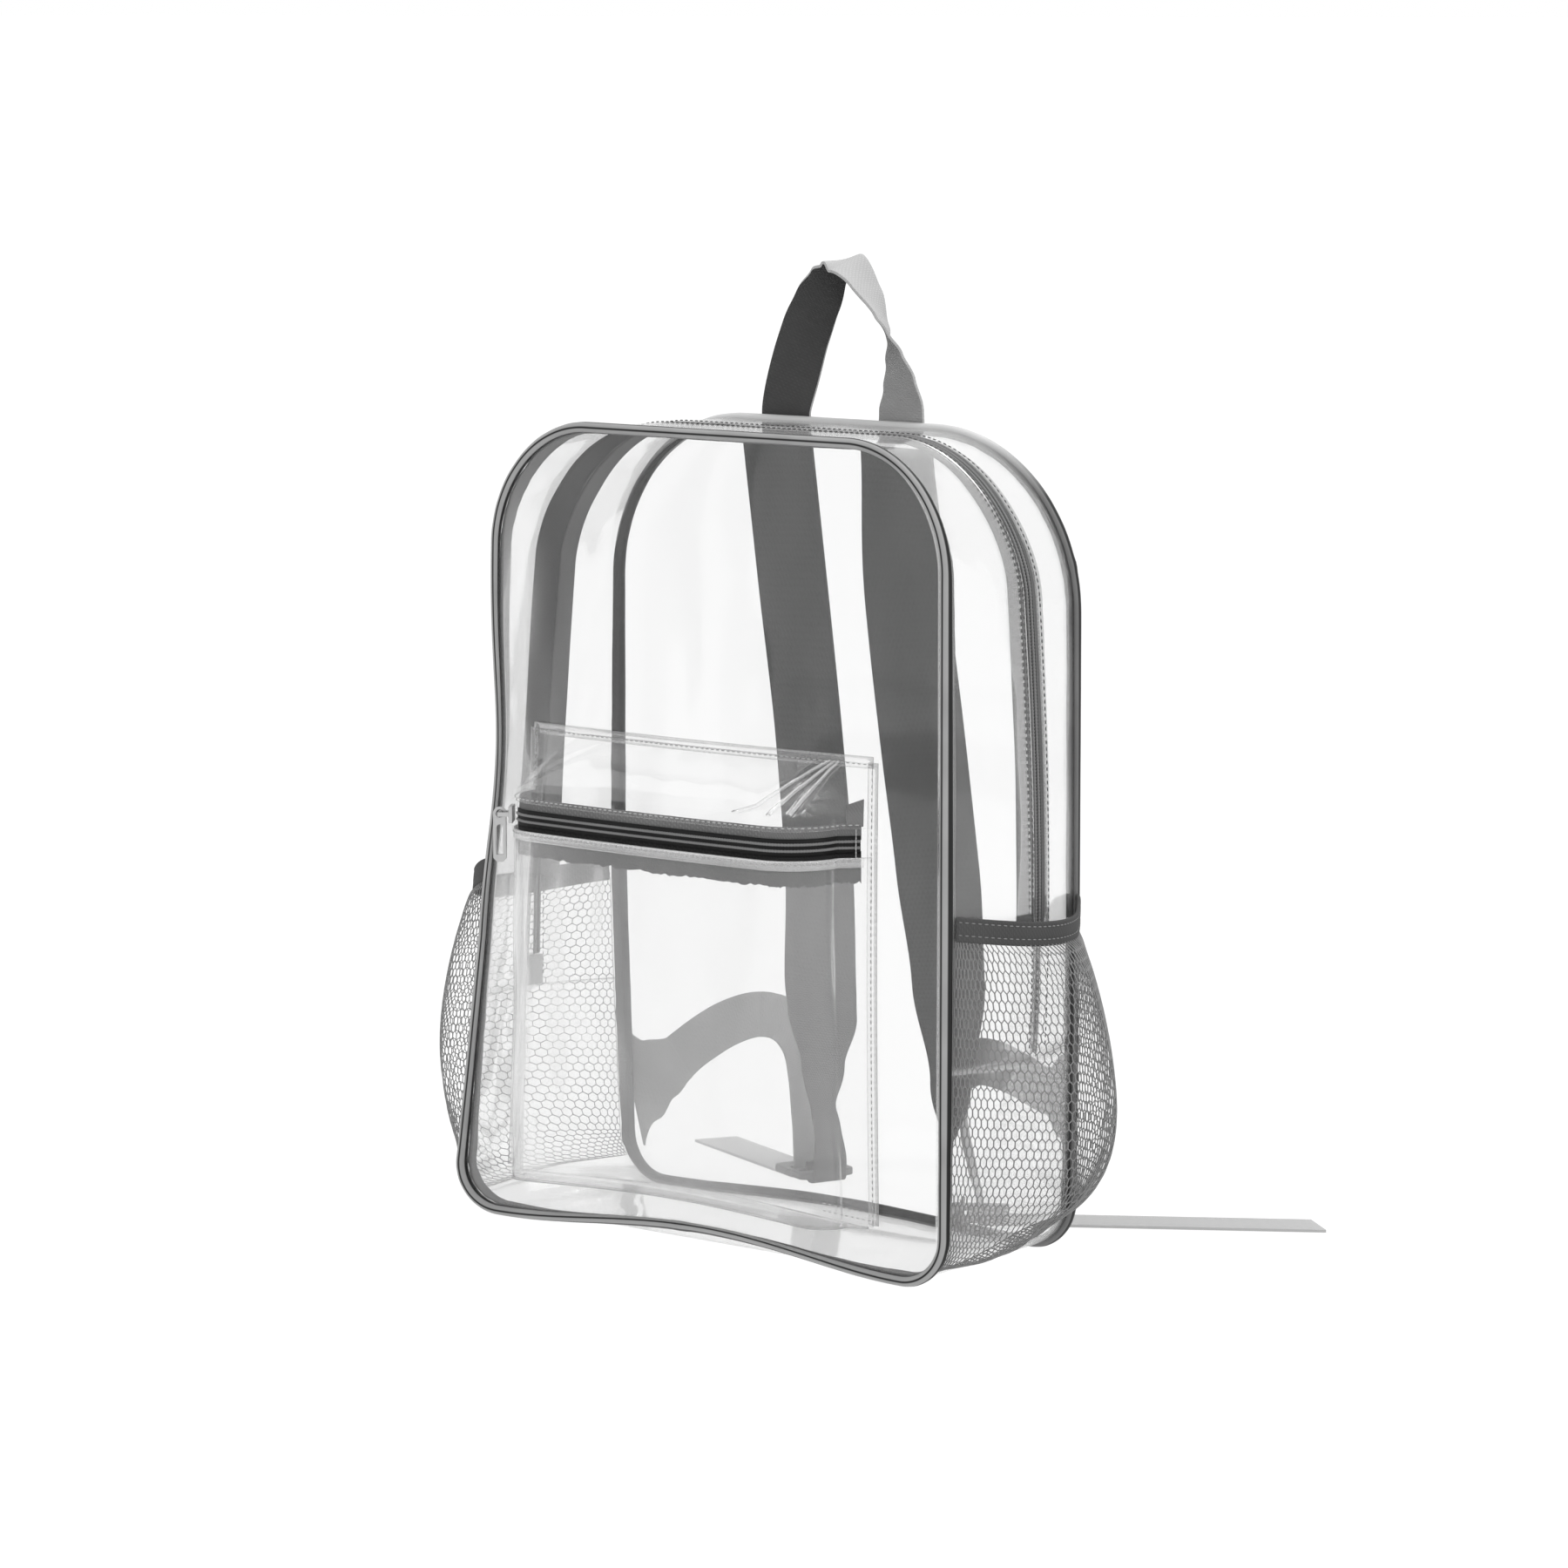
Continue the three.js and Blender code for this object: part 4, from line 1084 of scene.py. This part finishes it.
# Straps: a ribbon through rows of place, width direction and width
def curvePoint(points, share):
    last = len(points) - 1
    k = min(int(share * last), last - 1)
    t = share * last - k
    p1, p2 = points[k], points[k + 1]
    p0 = points[k - 1] if k > 0 else p1 * 2 - p2
    p3 = points[k + 2] if k + 2 <= last else p2 * 2 - p1
    d0, d1, d2 = (max((b - a).length, 1e-6) ** 0.5 for a, b in ((p0, p1), (p1, p2), (p2, p3)))
    m1 = ((p1 - p0) / d0 - (p2 - p0) / (d0 + d1) + (p2 - p1) / d1) * d1
    m2 = ((p2 - p1) / d1 - (p3 - p1) / (d1 + d2) + (p3 - p2) / d2) * d1
    c2 = (p2 - p1) * 3 - m1 * 2 - m2
    c3 = (p1 - p2) * 2 + m1 + m2
    return p1 + m1 * t + c2 * (t * t) + c3 * (t * t * t)


def ribbonFrame(rows, along):
    points = [Vector(row[0]) for row in rows]
    last = len(rows) - 1
    k = min(int(along * last), last - 1)
    share = smooth(along * last - k)
    ahead = curvePoint(points, min(along + 1e-4, 1))
    tangent = (ahead - curvePoint(points, max(along - 1e-4, 0))).normalized()
    side = Vector(rows[k][1]).lerp(Vector(rows[k + 1][1]), share)
    side = (side - tangent * side.dot(tangent)).normalized()
    return curvePoint(points, along), tangent, side, lerp(rows[k][2], rows[k + 1][2], share)


def ribbonPlace(rows, mirror, shape):
    def place(along, across):
        spot, tangent, side, width = ribbonFrame(rows, along)
        normal = tangent.cross(side)
        point = spot + side * ((across - 0.5) * width) + normal * shape(along, across)
        return Vector((mirror * point.x, point.y, point.z))

    return place


# The handle's rows: place, turn of its width about the upright, lift of its far edge, and width
handleRows = [
    ((-37, 55.9, 419), 0, 0, 32), ((-37.4, 56, 428), 0, 0, 32), ((-32, 56.5, 448.5), 6, 0, 31),
    ((-25, 57, 469.5), 14, 0, 28), ((-17.5, 57, 485), 24, -0.1, 25), ((-9.5, 56.5, 499), 62, -0.35, 21),
    ((-4.5, 56, 506), 104, -0.1, 24), ((2.5, 56, 505.5), 100, 0.4, 27), ((15.5, 56, 493), 108, 0.15, 30),
    ((25.6, 56, 476.5), 121, 0, 31), ((29.6, 56, 468.5), 130, 0, 32), ((33.5, 56.5, 457.5), 144, 0, 32),
    ((37, 56.6, 444), 158, 0, 32), ((38.8, 56, 430), 172, 0, 32), ((38.8, 55.9, 413), 180, 0, 30),
]


def handleSide(turn, lift):
    return (math.cos(math.radians(turn)), math.sin(math.radians(turn)), lift)


handleRibbon = [(spot, handleSide(turn, lift), wide) for spot, turn, lift, wide in handleRows]


def flatShape(along, across):
    return 0


def addHandle():
    grid = bentGrid((120, 10), ribbonPlace(handleRibbon, 1, flatShape), (330, 32))
    # Painted light and shade: one face takes the pale lit copy, the other the shaded copy of the same
    # webbing
    made = asObject("handle", grid, "handlePaintedLitFace")
    made.data.materials.append(looks["handle"])
    thicken(made, 1.6, 0.4)
    made.modifiers["thickness"].material_offset = 1
    made.modifiers["thickness"].material_offset_rim = 0
    settlePiece(made, ["handle"])


addHandle()

# Each side hangs its own way: the lock's place and heading, and the free end's length and slant
hang = {
    "left": {"lock": (68, 119), "heading": 22, "tail": 112, "cut": 4, "mirror": -1},
    "right": {"lock": (70, 84), "heading": 33, "tail": 180, "cut": 8, "mirror": 1},
}
flat = (1, 0, 0)
strapRows = {
    "left": [
        ((43, 55.4, 411), flat, 46), ((40.4, 65, 335), flat, 46), ((38.5, 77, 250), flat, 45),
        ((41, 89, 172), (1, -0.05, 0), 44), ((45, 95, 114), (1, -0.1, 0), 45),
        ((45, 97, 96), (1, -0.15, 0), 42), ((47, 100, 68), (0.9, -0.4, 0), 24),
        ((53, 108, 42), (0.6, -0.8, 0), 14), ((52.5, 111, 30), (0.37, -0.93, 0), 16),
    ],
    "right": [
        ((36, 55.4, 411), flat, 46), ((34.5, 67, 330), (0.94, 0.34, 0), 46),
        ((40.5, 73, 256), (0.92, 0.39, 0), 46), ((48, 76.5, 187), (0.92, 0.39, 0), 45),
        ((53.5, 79, 127), (0.94, 0.34, 0), 40),
        ((54.5, 80, 72), (0.95, -0.1, 0), 28), ((54.5, 77, 34), (0.6, -0.8, 0), 25),
    ],
}
# The strap's turn under the lock: distance along the heading, and height
turnUnder = [
    (-17.6, 12), (-17.3, 5), (-17.1, 2.2), (-15.2, 1.15), (-11.2, 1.15), (-9.2, 2.4), (-8.8, 6), (-8.4, 11),
]
up = (0, 0, 1)
tabRows = {
    "left": [
        ((148, 57, 55), up, 76), ((140, 58.6, 57), up, 51), ((131, 62.5, 61.5), up, 35),
        ((122, 69, 68), up, 26),
    ],
    "right": [((151.5, 56.3, 80), up, 64), ((142.5, 58, 80.5), up, 44), ((132, 61.1, 81.3), up, 26)],
}
# The webbing's arch from tab to lock: place and width direction
archRows = {
    "left": [
        ((124.2, 67.6, 65.9), up), ((118.9, 71.6, 72.1), up), ((104, 87.5, 86), (0.35, 0, 0.93)),
        ((91, 100, 91), (0.22, 0.25, 0.93)), ((80, 107, 88), (0, 0.55, 0.83)),
        ((73, 112, 77), (-0.15, 0.85, 0.5)), ((71, 115, 60), (-0.15, 0.97, 0.2)),
        ((70, 117.6, 36), (-0.2, 0.97, 0)),
    ],
    "right": [
        ((133.7, 60.6, 81.1), up), ((128, 62.3, 81.5), up), ((112, 67, 85), (0, 0.05, 1)),
        ((86.5, 80, 86.5), (0, 0.1, 1)), ((64, 90, 84), (-0.1, 0.2, 1)), ((54, 94, 76), (-0.4, 0.5, 0.75)),
        ((51.5, 95, 61), (-0.5, 0.7, 0.4)), ((54.5, 93.5, 43), (-0.5, 0.8, 0.15)),
        ((62, 90, 26), (-0.52, 0.84, 0)),
    ],
}
# The webbing under the lock and out along the floor: distance along the heading, and height
tailRows = [(0.4, 12), (0.4, 5), (1.0, 2.2), (2.9, 1.15), (7, 1.1), (18, 1.1)]
webbing = {"wide": 25, "lies": 1.1, "folds": (0.2, 0.23, 0.27), "foldWide": 0.006, "foldDeep": 0.7}


def strapShape(along, across):
    crease = -0.5 * math.exp(-(((across - 0.5) / 0.05) ** 2)) * smooth((0.4 - along) * 8)
    return crease + 0.5 * ripple(31, along * 14, across * 3) * arch(along * 2.4)


def webShape(along, across):
    near = sum(math.exp(-(((along - fold) / webbing["foldWide"]) ** 2)) for fold in webbing["folds"])
    return webbing["foldDeep"] * near * (0.4 + 0.6 * across)


def addSide(hand):
    part = hang[hand]
    angle = math.radians(part["heading"])
    ahead = Vector((math.cos(angle), math.sin(angle), 0))
    behind = (-ahead.y, ahead.x, 0)
    lockSpot = Vector((*part["lock"], 0))

    def at(along, z):
        return lockSpot + ahead * along + Vector((0, 0, z))

    strapList = strapRows[hand] + [(at(along, z), (ahead.y, -ahead.x, 0), 20) for along, z in turnUnder]
    strapPlace = ribbonPlace(strapList, part["mirror"], strapShape)
    strap = asObject(hand + "Strap", bentGrid((200, 12), strapPlace, (420, 46)), "strap")
    thicken(strap, 2.2, 0.6)
    settlePiece(strap, ["shoulder_strap_" + hand])

    def tackRun(start, end):
        def run(share):
            spot = Vector(start).lerp(Vector(end), share)
            return strapPlace(spot.x, spot.y) + Vector((0, 1.3, 0))

        return run

    corners = [(0.004, 0.08), (0.004, 0.92), (0.022, 0.92), (0.022, 0.08)]
    sides = [tackRun(corners[k - 1], corners[k]) for k in range(4)]
    crosses = [tackRun(corners[0], corners[2]), tackRun(corners[1], corners[3])]
    addStitches(hand + "StrapStitches", sides + crosses, "midThread")
    plain = ribbonPlace(tabRows[hand], part["mirror"], flatShape)
    tab = asObject(hand + "Tab", bentGrid((24, 8), plain, (28, 64)), "webbing")
    thicken(tab, 1.6, 0.4)
    settlePiece(tab, ["tab_" + hand])
    ends = tailRows + [(0.5 * part["tail"], webbing["lies"]), (part["tail"], webbing["lies"])]
    webList = [(spot, side, webbing["wide"]) for spot, side in archRows[hand]]
    webList += [(at(along, z), behind, webbing["wide"]) for along, z in ends]
    lie = ribbonPlace(webList, part["mirror"], webShape)
    way = Vector((part["mirror"] * ahead.x, ahead.y, 0))

    def cutPlace(along, across):
        return lie(along, across) + way * (part["cut"] * (0.5 - across) * smooth((along - 0.94) * 16))

    web = asObject(hand + "Webbing", bentGrid((220, 8), cutPlace, (360, webbing["wide"])), "webbing")
    thicken(web, 1.5, 0.4)
    settlePiece(web, ["webbing_" + hand])


for strapHand in ("left", "right"):
    addSide(strapHand)
print("straps made")


# Studio: a pale floor and soft lamps
floorSide = 400


def addStudio():
    bm = bmesh.new()
    bmesh.ops.create_grid(bm, x_segments=1, y_segments=1, size=0.5)
    for vert in bm.verts:
        vert.co = (vert.co.x * floorSide, vert.co.y * floorSide, -0.0005)
    mesh = bpy.data.meshes.new("floor")
    bm.to_mesh(mesh)
    bm.free()
    floor = bpy.data.objects.new("floor", mesh)
    look = Look("paleFloor")
    grain = look.noise(look.coords("Object"), 3.0, 2.0)
    tint = look.mix(grain, grey(0.06), grey(0.07))
    sockets = {"Base Color": tint, "Roughness": 0.95, "Specular IOR Level": 0.0}
    sockets.update({"Emission Color": (1, 1, 1, 1), "Emission Strength": 0.99})
    floor.data.materials.append(look.finish(look.principled(sockets)))
    scene.collection.objects.link(floor)


def addLamp(name, place, target, size, power):
    data = bpy.data.lights.new(name, "AREA")
    data.shape = "RECTANGLE"
    data.size = size[0]
    data.size_y = size[1]
    data.energy = power
    lamp = bpy.data.objects.new(name, data)
    lamp.location = place
    lamp.rotation_euler = (Vector(place) - Vector(target)).to_track_quat("Z", "Y").to_euler()
    scene.collection.objects.link(lamp)


def addWorld():
    world = bpy.data.worlds.new("studio")
    world.use_nodes = True
    world.node_tree.nodes["Background"].inputs["Color"].default_value = (1, 1, 1, 1)
    world.node_tree.nodes["Background"].inputs["Strength"].default_value = 1.0
    scene.world = world


addStudio()
addWorld()
addLamp("topLamp", (0.3, 0.6, 2.2), (0, 0, 0.2), (1.8, 1.2), 26)
addLamp("rightLamp", (2.2, -0.2, 1.2), (0, 0, 0.25), (0.5, 1.6), 10)
print("studio made")
